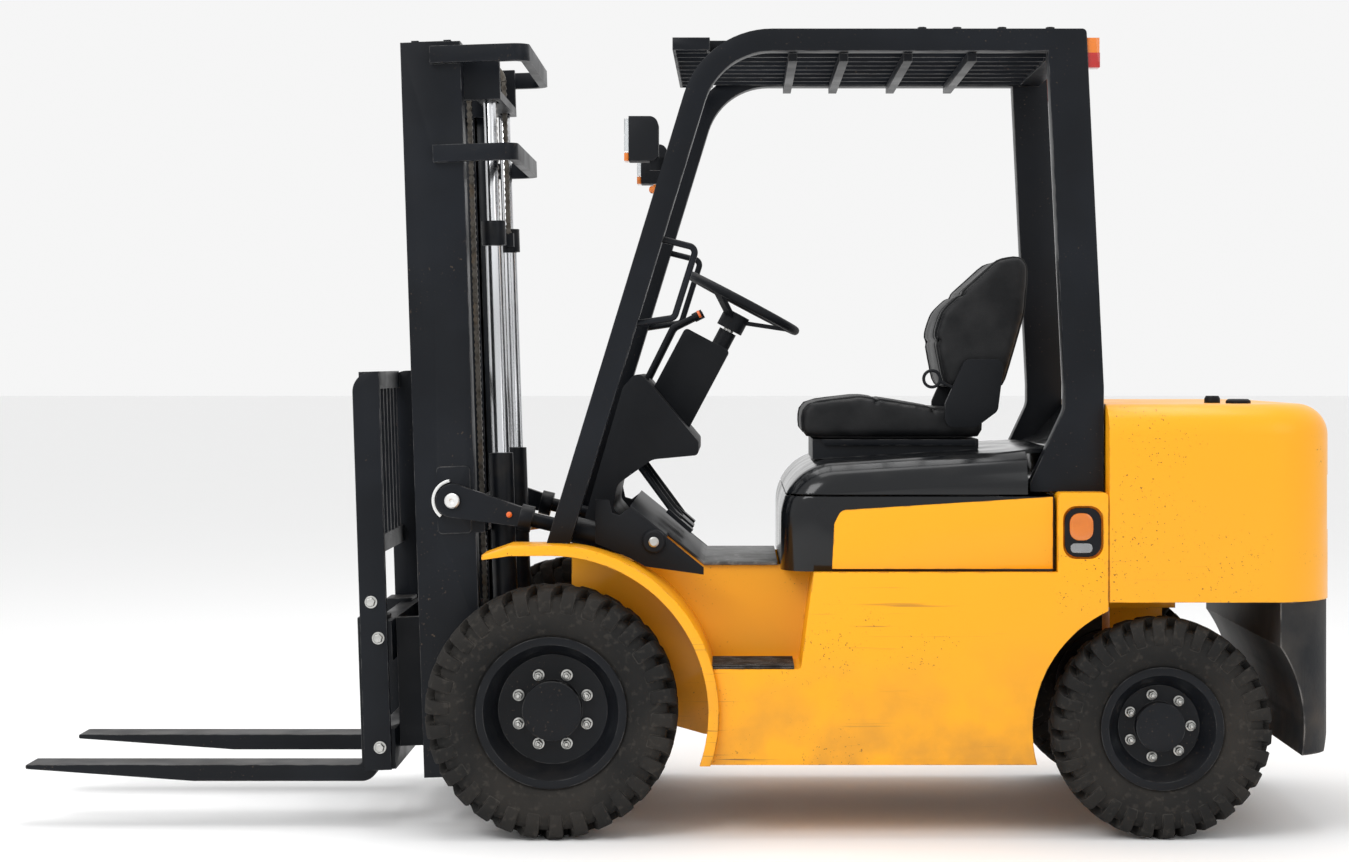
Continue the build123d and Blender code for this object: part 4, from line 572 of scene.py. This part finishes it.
def surface(node, start, direction):
    """Point on a node that a ray meets, and the face's normal there."""
    hit, point, normal, _ = NODES[node].ray_cast(Vector(start), Vector(direction).normalized())
    if not hit:
        raise ValueError(f"no surface of {node} from {tuple(start)}")
    return point, normal


# Edge rounding of small fittings and of plates
FINE_BEVEL = 0.0006
NUT_BEVEL = 0.0008
PLATE_BEVEL = 0.001

# Bolt heads: washer's share of the height, its spread over the head, and where the chamfer starts
WASHER_SHARE = 0.25
WASHER_SPREAD = 1.25
CHAMFER_SHARE = 0.8
BOLT_SINK = 0.001


def hex_bolt(solid, point, normal, across, height):
    """Hexagon head on a washer, standing on a point."""
    radius = across / math.sqrt(3)
    washer_r = radius * WASHER_SPREAD
    lift = height * WASHER_SHARE
    solid.turned(point, normal, [(-BOLT_SINK, washer_r), (lift, washer_r)], sides=20)
    head = [(lift - BOLT_SINK, radius), (lift + height * CHAMFER_SHARE, radius),
            (lift + height, radius * CHAMFER_SHARE)]
    solid.turned(point, normal, head, sides=6)


# Tyres: lug sizes in metres, and their places and spreads as shares of the pitch or of the half width
TYRE_SIDES = 104
LUGS_A_SIDE = 30
LUG_DEPTH = 0.024
LUG_ROOT = 0.004
LUG_BEVEL = 0.003
LUG_SLANT = 0.35
LUG_STAGGER = 0.25
TREAD_SPREAD = 0.30
SHOULDER_SPREAD = 0.27
SHOULDER_SHARE = 0.9
FOOT_SPREAD = 1.12
WALL_SHARE = 0.86
# Stations of a lug: share of the half width, and drop from the tyre's radius
TREAD_STATIONS = ((-0.06, 0), (0.30, 0), (0.62, 0.001), (0.80, 0.004))
WALL_STATIONS = ((0.94, 0.014), (0.995, 0.034), (1.0, 0.052), (0.96, 0.068))


def wheel_point(hub, along, radius, angle):
    """Point at a radius and an angle about a hub, some way along its axle."""
    return hub + Vector((radius * math.cos(angle), along, radius * math.sin(angle)))


def tyre_carcass(solid, hub, half, radius, flange_r):
    """Casing under the lugs, from bead to bead."""
    base_r = radius - LUG_DEPTH
    wall_r = (flange_r + base_r) / 2
    left = [
        (-0.60 * half, flange_r - 0.012), (-0.64 * half, flange_r + 0.003), (-0.70 * half, flange_r + 0.008),
        (-0.84 * half, flange_r + 0.022), (-0.92 * half, wall_r - 0.008), (-0.93 * half, wall_r + 0.012),
        (-0.90 * half, base_r - 0.020), (-0.80 * half, base_r - 0.004), (-0.55 * half, base_r),
    ]
    profile = left + [(-along, r) for along, r in reversed(left)]
    rings = []
    for i in range(TYRE_SIDES):
        rings.append([wheel_point(hub, along, r, FULL_TURN * i / TYRE_SIDES) for along, r in profile])
    solid.loft(rings, closed=True)


def lug_stations(half, radius):
    """From the tyre's middle over the shoulder: (along the axle, outer radius, inner place, inner radius)."""
    base_r = radius - LUG_DEPTH - LUG_ROOT
    tread = [(share * half, radius - drop, share * half, base_r) for share, drop in TREAD_STATIONS]
    wall = [(share * half, radius - drop, WALL_SHARE * half, radius - drop - LUG_ROOT)
            for share, drop in WALL_STATIONS]
    return tread + wall


def tyre_lugs(solid, hub, half, radius):
    """Staggered bar lugs, slanting back from the middle and down over each shoulder."""
    pitch = FULL_TURN / LUGS_A_SIDE
    stations = lug_stations(half, radius)
    for _, sign in SIDES:
        for i in range(LUGS_A_SIDE):
            middle = pitch * (i + sign * LUG_STAGGER)
            rings = []
            for along, outer_r, inner_y, inner_r in stations:
                centre = middle + LUG_SLANT * pitch * (1 - min(along / half, 1))
                spread = pitch * (TREAD_SPREAD if along < SHOULDER_SHARE * half else SHOULDER_SPREAD)
                foot = FOOT_SPREAD * spread
                corners = ((along, outer_r, -spread), (along, outer_r, spread),
                           (inner_y, inner_r, foot), (inner_y, inner_r, -foot))
                rings.append([wheel_point(hub, sign * y, r, centre + offset) for y, r, offset in corners])
            solid.loft(rings)


def tyres():
    """Lugged tyres in place of the plain ones."""
    for axle in ("front", "rear"):
        for side, _ in SIDES:
            node = f"{axle}_tyre_{side}"
            low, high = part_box(node)
            wheel_low, wheel_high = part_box(f"{axle}_wheel_{side}")
            hub = (low + high) / 2
            half = (high.y - low.y) / 2
            radius = (high.z - low.z) / 2
            solid = Solid()
            tyre_carcass(solid, hub, half, radius, (wheel_high.z - wheel_low.z) / 2)
            tyre_lugs(solid, hub, half, radius)
            obj = slot_piece(f"{node}_lugged", solid, f"{axle}_wheel_{side}", "tyre", LUG_BEVEL)
            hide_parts(node)


# Wheel nuts: circle radius, count and width across flats
NUTS = {"front": (0.100, 8, 0.022), "rear": (0.086, 7, 0.020)}
# Height of a nut, and its stud's end as (along, radius), in widths across flats
NUT_HEIGHT = 0.75
STUD_END = ((0, 0.3), (1.25, 0.3), (1.35, 0.2))
OUTSIDE_WHEEL = 0.3


def wheel_nuts():
    """Zinc nuts and stud ends on the wheel discs."""
    for axle, (circle_r, count, across) in NUTS.items():
        for side, sign in SIDES:
            node = f"{axle}_wheel_{side}"
            low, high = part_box(node)
            hub = (low + high) / 2
            nuts = Solid()
            for i in range(count):
                start = wheel_point(hub, sign * OUTSIDE_WHEEL, circle_r, FULL_TURN * (i + 0.5) / count)
                point, _ = surface(node, start, (0, -sign, 0))
                hex_bolt(nuts, point, (0, sign, 0), across, across * NUT_HEIGHT)
                stud = [(across * along, across * radius) for along, radius in STUD_END]
                nuts.turned(point, (0, sign, 0), stud, sides=12)
            piece(f"{axle}_wheel_nuts_{side}", nuts, node, ZINC, NUT_BEVEL)


# Seat pads: the axis that the sewn face looks along, the axis across which it has rows, and the rows' places
PADS = {"seat_cushion": (2, 0, (0.14, 0.30)), "seat_back": (0, 2, (0.14, 0.27))}
PAD_INSET = 0.010
PAD_CROWN = 0.012
RIM_SHARE = 0.25
PAD_VOXEL = 0.008
PAD_SMOOTHING = 0.5
PAD_SMOOTHINGS = 14
# Sewn channels: half width, depths, place of those along the sides, and least facing of what they press in
CHANNEL_W = 0.006
SIDE_CHANNEL_DEPTH = 0.008
ROW_DEPTH = 0.006
SIDE_CHANNEL_Y = 0.15
CHANNEL_FACING = 0.4
PIPING_INSET = 0.030
PIPING_R = 0.0035
PIPING_LIFT = 0.001
PIPING_STEPS = 90


def bake(obj):
    """Put the result of an object's modifiers into its mesh."""
    graph = bpy.context.evaluated_depsgraph_get()
    mesh = bpy.data.meshes.new_from_object(obj.evaluated_get(graph))
    obj.modifiers.clear()
    obj.data = mesh


def shrunk_copy(node, name):
    """Copy of a node's mesh, drawn in a little all round, remeshed and rounded."""
    low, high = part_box(node)
    middle = (low + high) / 2
    size = high - low
    mesh = NODES[node].data.copy()
    mesh.name = name
    for vert in mesh.vertices:
        for axis in range(3):
            share = (size[axis] - 2 * PAD_INSET) / size[axis]
            vert.co[axis] = middle[axis] + (vert.co[axis] - middle[axis]) * share
    obj = bpy.data.objects.new(name, mesh)
    scene.collection.objects.link(obj)
    remesh = obj.modifiers.new("remesh", "REMESH")
    remesh.mode = "VOXEL"
    remesh.voxel_size = PAD_VOXEL
    relax = obj.modifiers.new("relax", "SMOOTH")
    relax.factor = PAD_SMOOTHING
    relax.iterations = PAD_SMOOTHINGS
    bake(obj)
    return obj


def crown(obj, low, high, facing):
    """Swell a pad, most towards the middle of its broad faces."""
    middle = (low + high) / 2
    half = (high - low) / 2
    across = [axis for axis in range(3) if axis != facing]
    normals = [vert.normal.copy() for vert in obj.data.vertices]
    for vert, normal in zip(obj.data.vertices, normals):
        fall = 1.0
        for axis in across:
            fall *= 1 - min(abs(vert.co[axis] - middle[axis]) / half[axis], 1) ** 2
        vert.co += normal * (PAD_CROWN * (RIM_SHARE + (1 - RIM_SHARE) * fall))


def sew(obj, low, high, facing, channels):
    """Divide a pad, press its sewn channels in and hold it in its solid's box."""
    obj.modifiers.new("divide", "SUBSURF").levels = 1
    bake(obj)
    normals = [vert.normal.copy() for vert in obj.data.vertices]
    for vert, normal in zip(obj.data.vertices, normals):
        depth = 0.0
        if normal[facing] > CHANNEL_FACING:
            depth = max(deepest * math.exp(-((vert.co[axis] - place) / CHANNEL_W) ** 2)
                        for axis, place, deepest in channels)
        vert.co -= normal * depth
        for axis in range(3):
            vert.co[axis] = min(max(vert.co[axis], low[axis]), high[axis])
    for polygon in obj.data.polygons:
        polygon.use_smooth = True


def side_piping(obj, name, low, high):
    """Piped cord round a pad's outline near each side."""
    faces = [list(polygon.vertices) for polygon in obj.data.polygons]
    tree = BVHTree.FromPolygons([vert.co for vert in obj.data.vertices], faces)
    middle = (low + high) / 2
    piping = Solid()
    for y in (low.y + PIPING_INSET, high.y - PIPING_INSET):
        points = []
        for i in range(PIPING_STEPS):
            angle = FULL_TURN * i / PIPING_STEPS
            way = Vector((math.cos(angle), 0, math.sin(angle)))
            hit = tree.ray_cast(Vector((middle.x, y, middle.z)) + way, -way)[0]
            if hit:
                points.append(hit + way * PIPING_LIFT)
        piping.tube(points, PIPING_R, closed=True)
    slot_piece(name, piping, "hood", "seat_vinyl")


def seat_pads():
    """Padded cushion and back with sewn channels and piping, in place of the plain ones."""
    for node, (facing, along, rows) in PADS.items():
        low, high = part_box(node)
        obj = shrunk_copy(node, f"{node}_pad")
        crown(obj, low, high, facing)
        channels = [(1, sign * SIDE_CHANNEL_Y, SIDE_CHANNEL_DEPTH) for _, sign in SIDES]
        channels += [(along, low[along] + row, ROW_DEPTH) for row in rows]
        sew(obj, low, high, facing, channels)
        obj.data.materials.clear()
        obj.data.materials.append(LOOKS["seat_vinyl"])
        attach(obj, "hood")
        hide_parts(node)
        side_piping(obj, f"{node}_piping", low, high)


# Seat rails: inset of their outer sides, width, and drop of their undersides and tops below the cushion
RAIL_INSET = 0.022
RAIL_W = 0.030
RAIL_DROP = 0.018
RAIL_TOP_GAP = 0.001
RAIL_REAR_INSET = 0.02
RAIL_FRONT_INSETS = (0.07, 0.06)
# Release ring: middle, radius and wire, and the points of its pull from the middle
RING_PLACE = (-1.043, 1.233)
RING_SINK = 0.008
RING_R = 0.023
RING_WIRE_R = 0.0045
RING_SIDES = 32
RING_PULL = ((-0.022, -0.006), (-0.045, -0.018), (-0.075, -0.030))


def seat_fittings():
    """Slide rails under the cushion and the release ring at its side."""
    low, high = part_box("seat_cushion")
    under_z, top_z = low.z - RAIL_DROP, low.z - RAIL_TOP_GAP
    rear_x = low.x + RAIL_REAR_INSET
    under_x, top_x = [high.x - inset for inset in RAIL_FRONT_INSETS]
    outline = ((rear_x, under_z), (under_x, under_z), (top_x, top_z), (rear_x, top_z))
    rails = Solid()
    for _, sign in SIDES:
        edge = sign * (high.y - RAIL_INSET)
        rails.slab([(x, edge, z) for x, z in outline], (0, -sign * RAIL_W, 0))
    slot_piece("seat_rails", rails, "hood", "black_paint", PLATE_BEVEL)
    _, cover_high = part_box("seat_covers")
    middle = from_axle(RING_PLACE[0], cover_high.y - RING_SINK, RING_PLACE[1])
    handle = Solid()
    ring = circle(middle, Vector((1, 0, 0)), Vector((0, 0, 1)), RING_R, RING_SIDES)
    handle.tube(ring, RING_WIRE_R, closed=True)
    handle.tube([middle + Vector((x, 0, z)) for x, z in RING_PULL], RING_WIRE_R)
    slot_piece("seat_release_ring", handle, "hood", "black_plastic")


# Leaf chains: plates and pins, and the bodies at the two ends of each run
LINK_PITCH = 0.019
LINK_R = 0.0078
LINK_WAIST = 0.0052
LINK_STEPS = 6
PLATE_T = 0.0036
PLATE_FILL = 0.92
CHAIN_W = 0.026
PIN_R = 0.0035
PIN_PROUD = 0.0015
SHEAVE_HALF_W = 0.014
CHAIN_RUNS = {
    "chain_anchor_runs": ("mast_outer", "mast_inner"),
    "chain_lift_runs": ("mast_inner", "carriage"),
}


def link_outline(centre_u, low_w, high_w):
    """Outline of a chain plate between two pins, as (u, w)."""
    middle_w = (low_w + high_w) / 2
    low_end = arc((centre_u, low_w), LINK_R, math.pi, FULL_TURN, LINK_STEPS)
    high_end = arc((centre_u, high_w), LINK_R, 0, math.pi, LINK_STEPS)
    return [*low_end, (centre_u + LINK_WAIST, middle_w), *high_end, (centre_u - LINK_WAIST, middle_w)]


def leaf_chain(u, low_w, high_w, strand_y):
    """Laced plates and pins of both strands of a chain run."""
    links = round((high_w - low_w) / LINK_PITCH)
    pitch = (high_w - low_w) / links
    rows = int(CHAIN_W / PLATE_T)
    pin_profile = [(-PIN_PROUD, PIN_R), (rows * PLATE_T + PIN_PROUD, PIN_R)]
    chain = Solid()
    for _, sign in SIDES:
        first = sign * strand_y - rows * PLATE_T / 2
        for i in range(links):
            low = low_w + i * pitch
            outline = link_outline(u, low, low + pitch)
            for row in range(i % 2, rows, 2):
                y = first + row * PLATE_T
                chain.slab([on_mast(pu, y, pw) for pu, pw in outline], (0, PLATE_T * PLATE_FILL, 0))
            chain.turned(on_mast(u, first, low), (0, 1, 0), pin_profile, sides=10)
    return chain


def on_mast_range(node):
    """Lowest and highest place of a node along the mast's own directions, as (u, w)."""
    places = [vert.co - AXLE for vert in NODES[node].data.vertices]
    us = [place.dot(MAST_FORE) for place in places]
    ws = [place.dot(MAST_UP) for place in places]
    return (min(us), min(ws)), (max(us), max(ws))


def chains():
    """Leaf chains in place of the plain strands."""
    _, sheaves_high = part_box("chain_sheaves")
    strand_y = sheaves_high.y - SHEAVE_HALF_W
    for node, bodies in CHAIN_RUNS.items():
        (low_u, low_w), (high_u, high_w) = on_mast_range(node)
        u = (low_u + high_u) / 2
        obj = slot_piece(f"{node}_leaves", leaf_chain(u, low_w, high_w, strand_y), None, "chain_steel")
        ends = [on_mast(u, 0, low_w), on_mast(u, 0, high_w)]
        if bodies[0] == "mast_inner":
            ends.reverse()
        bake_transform(obj)
        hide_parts(node)


# Tilt cylinder pin on the mast, forward of the axle and above the floor, and its eye
TILT_PIN = (0.281, 0.900)
TILT_ARM_SLOPE = math.radians(13.5)
TILT_EYE_R = 0.046
TILT_PIN_END_Y = 0.401
# Retainer: gap round the eye, outer edge from the eye, reach to each side in radians, place and width
RETAINER_GAP = 0.004
RETAINER_EDGE = 0.013
RETAINER_REACH = 1.15
RETAINER_Y = 0.356
RETAINER_W = 0.022
RETAINER_STEPS = 20
PIN_HEAD = ((-0.003, 0.010), (-0.003, 0.021), (0.004, 0.021), (0.007, 0.017), (0.007, 0.007), (0.004, 0.004))
# Grease point on the arm, forward of the axle and above the floor, and its form
GREASE_PLACE = (0.125, 0.862)
GREASE_POINT = ((-0.002, 0.008), (0.004, 0.008), (0.007, 0.004))
OUTSIDE_TILT_ARM = 0.6


def retainer(pin, sign):
    """Curved strip round a tilt eye, facing forward along its arm."""
    angles = (TILT_ARM_SLOPE - RETAINER_REACH, TILT_ARM_SLOPE + RETAINER_REACH)
    inner = arc((pin.x, pin.z), TILT_EYE_R + RETAINER_GAP, *angles, RETAINER_STEPS)
    outer = arc((pin.x, pin.z), TILT_EYE_R + RETAINER_EDGE, *angles, RETAINER_STEPS)
    low_y, high_y = sign * RETAINER_Y, sign * (RETAINER_Y + RETAINER_W)
    strip = Solid()
    strip.loft([[(ix, low_y, iz), (ox, low_y, oz), (ox, high_y, oz), (ix, high_y, iz)]
                for (ix, iz), (ox, oz) in zip(inner, outer)])
    return strip


def tilt_links():
    """White retainer and pin head at each tilt eye, and a grease point on the arm."""
    pin = from_axle(TILT_PIN[0], 0, TILT_PIN[1])
    for side, sign in SIDES:
        out = (0, sign, 0)
        arm = f"tilt_rod_{side}"
        piece(f"tilt_retainer_{side}", retainer(pin, sign), "mast_outer", WHITE_METAL, PLATE_BEVEL)
        end = Vector((pin.x, sign * TILT_PIN_END_Y, pin.z))
        turned_piece(f"tilt_pin_head_{side}", end, out, PIN_HEAD, 28, "mast_outer", WHITE_METAL, FINE_BEVEL)
        start = from_axle(GREASE_PLACE[0], sign * OUTSIDE_TILT_ARM, GREASE_PLACE[1])
        point, _ = surface(arm, start, (0, -sign, 0))
        turned_piece(f"tilt_grease_point_{side}", point, out, GREASE_POINT, 16, arm, ORANGE)


# Cowl side covers: outline and boss forward of the axle and above the floor, and places across
COVER_OUTLINE = (
    (-0.112, 0.905), (-0.150, 0.904), (-0.158, 0.868), (-0.178, 0.862), (-0.207, 0.884),
    (-0.408, 0.720), (-0.408, 0.700), (-0.250, 0.722), (-0.207, 0.745), (-0.112, 0.786),
)
COVER_Y = 0.4216
COVER_T = 0.0022
BOSS_PLACE = (-0.272, 0.790)
BOSS_Y = 0.4226
BOSS = ((0, 0.034), (0.010, 0.032), (0.014, 0.026), (0.014, 0.015))
BOSS_STUD = ((0.008, 0.014), (0.018, 0.014), (0.021, 0.010))


def cowl_sides():
    """Thin moulded cover on each side between the pillar and the floor, outside the tilt cylinder."""
    for side, sign in SIDES:
        out = (0, sign, 0)
        boss = from_axle(BOSS_PLACE[0], sign * BOSS_Y, BOSS_PLACE[1])
        cover = Solid()
        cover.slab([from_axle(x, sign * COVER_Y, z) for x, z in COVER_OUTLINE], (0, sign * COVER_T, 0))
        cover.turned(boss, out, BOSS, sides=28)
        slot_piece(f"cowl_side_{side}", cover, "chassis", "black_plastic", FINE_BEVEL)
        turned_piece(f"cowl_side_stud_{side}", boss, out, BOSS_STUD, 20, "chassis", ZINC)


# Side lamp: place of its pocket, and for each part its offset from there, size, corner, base, rise and slot
LAMP_POCKET = (-1.4255, 0.8235)
LAMP_PARTS = {
    "bezel": ((0, 0), (0.098, 0.132), 0.034, 0.5495, 0.002, "black_plastic"),
    "amber": ((0.004, 0.015), (0.064, 0.074), 0.026, 0.5505, 0.006, "amber_lens"),
    "clear": ((0.004, -0.042), (0.060, 0.026), 0.012, 0.5505, 0.004, "clear_lens"),
}
LENS_STATIONS = ((1.0, 0.0), (0.97, 0.6), (0.86, 0.9), (0.6, 1.0))
CORNER_STEPS = 5
# Red half of a rear lamp, forward of the axle and above the floor, and across
RED_X = (-1.4815, -1.4450)
RED_Z = (2.077, 2.118)
RED_Y = 0.4292
RED_W = 0.0496
RED_BEVEL = 0.002
# Pillar lamp: height, place across and turned forms
PILLAR_LAMP_Z = 1.748
GUARD_RAIL_Y = 0.454
BEFORE_PILLAR = 0.3
PILLAR_LAMP = (
    ((-0.002, 0.015), (0.004, 0.015), (0.006, 0.012)),
    ((0.004, 0.011), (0.012, 0.010), (0.016, 0.005)),
)


def rounded(width, height, radius):
    """Points of a rounded rectangle about zero, as (across, up)."""
    points = []
    for corner, (sx, sz) in enumerate(((1, 1), (-1, 1), (-1, -1), (1, -1))):
        centre = (sx * (width / 2 - radius), sz * (height / 2 - radius))
        points += arc(centre, radius, math.pi / 2 * corner, math.pi / 2 * (corner + 1), CORNER_STEPS)
    return points


def side_lens(offset, size, radius, base_y, rise, sign):
    """Domed lens standing out of a body side."""
    x, z = LAMP_POCKET[0] + offset[0], LAMP_POCKET[1] + offset[1]
    rings = []
    for share, out in LENS_STATIONS:
        rings.append([from_axle(x + px * share, sign * (base_y + out * rise), z + pz * share)
                      for px, pz in rounded(*size, radius)])
    solid = Solid()
    solid.loft(rings)
    return solid


def lamps():
    """Side lamp bezels and lenses, red lower halves of the rear lamps and lamps on the pillars."""
    red_outline = [(RED_X[0], RED_Z[0]), (RED_X[1], RED_Z[0]), (RED_X[1], RED_Z[1]), (RED_X[0], RED_Z[1])]
    for side, sign in SIDES:
        for part, (*form, slot) in LAMP_PARTS.items():
            slot_piece(f"side_lamp_{part}_{side}", side_lens(*form, sign), "chassis", slot)
        red = Solid()
        red.slab([from_axle(x, sign * RED_Y, z) for x, z in red_outline], (0, sign * RED_W, 0))
        piece(f"rear_lamp_red_{side}", red, "chassis", RED_LENS, RED_BEVEL)
        start = from_axle(BEFORE_PILLAR, sign * GUARD_RAIL_Y, PILLAR_LAMP_Z)
        point, _ = surface("guard_frame", start, (-1, 0, 0))
        small = Solid()
        for profile in PILLAR_LAMP:
            small.turned(point, (1, 0, 0), profile, sides=20)
        slot_piece(f"pillar_lamp_{side}", small, "chassis", "amber_lens")


# Step treads: a point over the step, the plate's edges and its ribs
OVER_STEP = (-0.55, 0.45, 0.65)
TREAD_X = (-0.402, -0.652)
TREAD_Y = (0.550, 0.318)
TREAD_LIFT = 0.004
TREAD_T = 0.005
TREAD_RIBS = 9
RIB_INSET = 0.008
RIB_PITCH = 0.026
RIB_W = 0.009
RIB_H = 0.006


def tread_slab(solid, sign, near_y, far_y, low_z, height):
    """Flat bar over a step's whole length."""
    corners = ((TREAD_X[0], near_y), (TREAD_X[1], near_y), (TREAD_X[1], far_y), (TREAD_X[0], far_y))
    solid.slab([from_axle(x, sign * y, low_z) for x, y in corners], (0, 0, height))


def step_treads():
    """Dark ribbed tread on each step."""
    over_x, over_y, over_z = OVER_STEP
    for side, sign in SIDES:
        point, _ = surface("body_frame", from_axle(over_x, sign * over_y, over_z), (0, 0, -1))
        top = point.z + TREAD_LIFT
        tread = Solid()
        tread_slab(tread, sign, *TREAD_Y, top - TREAD_T, TREAD_T)
        for i in range(TREAD_RIBS):
            y = TREAD_Y[0] - RIB_INSET - i * RIB_PITCH
            tread_slab(tread, sign, y, y - RIB_W, top, RIB_H)
        piece(f"step_tread_{side}", tread, "chassis", STEP_TREAD, NUT_BEVEL)


# Bolts: places forward of the axle (and above the floor), width across flats and height
POST_BOLTS = ((0.506, 0.621), (0.486, 0.522), (0.481, 0.222))
POST_BOLT_SIZE = (0.024, 0.012)
GUARD_BOLTS = (-1.001, -1.096, -1.218, -1.349)
GUARD_BOLT_SIZE = (0.022, 0.006)
OUTSIDE_POSTS = 0.7
ABOVE_GUARD = 2.6
# Filler caps: forward of the axle, to the left, radius and height
FILLER_CAPS = ((-1.823, 0.27, 0.022, 0.020), (-1.880, 0.35, 0.034, 0.012))
CAP_SINK = 0.004
CAP_WALL_SHARE = 0.6
CAP_TOP_SHARE = 0.8
ABOVE_WEIGHT = 2.0


def fasteners():
    """Bolts on the backrest's posts and the guard's rails, and caps on the counterweight."""
    posts = Solid()
    rails = Solid()
    caps = Solid()
    for _, sign in SIDES:
        for x, z in POST_BOLTS:
            point, normal = surface("backrest", from_axle(x, sign * OUTSIDE_POSTS, z), (0, -sign, 0))
            hex_bolt(posts, point, normal, *POST_BOLT_SIZE)
        for x in GUARD_BOLTS:
            point, normal = surface("guard_frame", from_axle(x, sign * GUARD_RAIL_Y, ABOVE_GUARD), (0, 0, -1))
            hex_bolt(rails, point, normal, *GUARD_BOLT_SIZE)
    for x, y, radius, height in FILLER_CAPS:
        point, _ = surface("counterweight", from_axle(x, y, ABOVE_WEIGHT), (0, 0, -1))
        profile = [(-CAP_SINK, radius), (height * CAP_WALL_SHARE, radius), (height, radius * CAP_TOP_SHARE)]
        caps.turned(point, (0, 0, 1), profile, sides=32)
    piece("post_bolts", posts, "carriage", ZINC, FINE_BEVEL)
    slot_piece("guard_bolts", rails, "chassis", "black_paint", FINE_BEVEL)
    slot_piece("filler_caps", caps, "chassis", "black_plastic", PLATE_BEVEL)


# Steering wheel's middle, and the shaft below it as (along, radius)
STEERING_MIDDLE = (-0.516, 0, 1.450)
SHAFT = ((-0.0915, 0.015), (-0.080, 0.015))
# End of the left lever's grip, the grip's way, and the ring on it as (along, radius)
GRIP_END = (-0.400, 0.131, 1.4205)
GRIP_WAY = (-0.085, 0, 0.0425)
GRIP_RING = ((-0.014, 0.0095), (-0.013, 0.0112), (-0.007, 0.0112), (-0.006, 0.0095))


def controls():
    """Shaft between the steering column and the wheel's hub, and an orange ring on the left lever."""
    axis = Vector(JOINTS["steering_wheel_turn"]["axis"])
    axis = axis if axis.z > 0 else -axis
    turned_piece("steering_shaft", from_axle(*STEERING_MIDDLE), axis, SHAFT, 20, "steering_wheel", ZINC)
    turned_piece("lever_ring", from_axle(*GRIP_END), GRIP_WAY, GRIP_RING, 24, "chassis", ORANGE)


# Floor, world and lamps: place, size and power of each lamp, and what they point at
FLOOR_REACH = 90
WORLD_STRENGTH = 0.92
LAMPS = {
    "key": ((3.6, 5.0, 5.6), 3.0, 190),
    "fill": ((-4.5, 4.5, 3.5), 3.0, 30),
    "top": ((-0.2, -0.5, 5.8), 4.0, 150),
}
LAMP_TARGET = Vector((-0.3, 0, 0.9))


def stage():
    """Wide pale floor under a bright even sky, and soft lamps."""
    corners = [(sx * FLOOR_REACH, sy * FLOOR_REACH, 0) for sx, sy in ((-1, -1), (1, -1), (1, 1), (-1, 1))]
    mesh = bpy.data.meshes.new("floor")
    mesh.from_pydata(corners, [], [(0, 1, 2, 3)])
    floor = bpy.data.objects.new("floor", mesh)
    scene.collection.objects.link(floor)
    look = Look("pale_floor", (0.92, 0.92, 0.92), 0.8, 0.0, 0.2)
    look.tint((0.90, 0.90, 0.90), look.patches(0.8, 0.4, 0.7), 0.1)
    mesh.materials.append(look.material)
    for name, (place, size, power) in LAMPS.items():
        lamp = bpy.data.lights.new(name, "AREA")
        lamp.size = size
        lamp.energy = power
        obj = bpy.data.objects.new(name, lamp)
        obj.location = place
        obj.rotation_euler = (LAMP_TARGET - Vector(place)).to_track_quat("-Z", "Y").to_euler()
        scene.collection.objects.link(obj)
    world = bpy.data.worlds.new("studio")
    world.use_nodes = True
    world.node_tree.nodes["Background"].inputs["Color"].default_value = (1, 1, 1, 1)
    world.node_tree.nodes["Background"].inputs["Strength"].default_value = WORLD_STRENGTH
    scene.world = world
    scene.view_settings.view_transform = "Standard"


def camera():
    """Camera of the photograph, level and looking square across the truck."""
    data = bpy.data.cameras.new("camera")
    data.sensor_width = SENSOR
    data.lens = LENS
    data.shift_x = (IMAGE_WIDTH / 2 - EYE_PIXEL[0]) / IMAGE_WIDTH
    data.shift_y = (EYE_PIXEL[1] - IMAGE_HEIGHT / 2) / IMAGE_WIDTH
    obj = bpy.data.objects.new("camera", data)
    obj.location = EYE
    obj.rotation_euler = (math.pi / 2, 0, math.pi)
    scene.collection.objects.link(obj)
    scene.camera = obj


dress_nodes()
tyres()
wheel_nuts()
seat_pads()
seat_fittings()
chains()
tilt_links()
cowl_sides()
lamps()
step_treads()
fasteners()
controls()
stage()
camera()
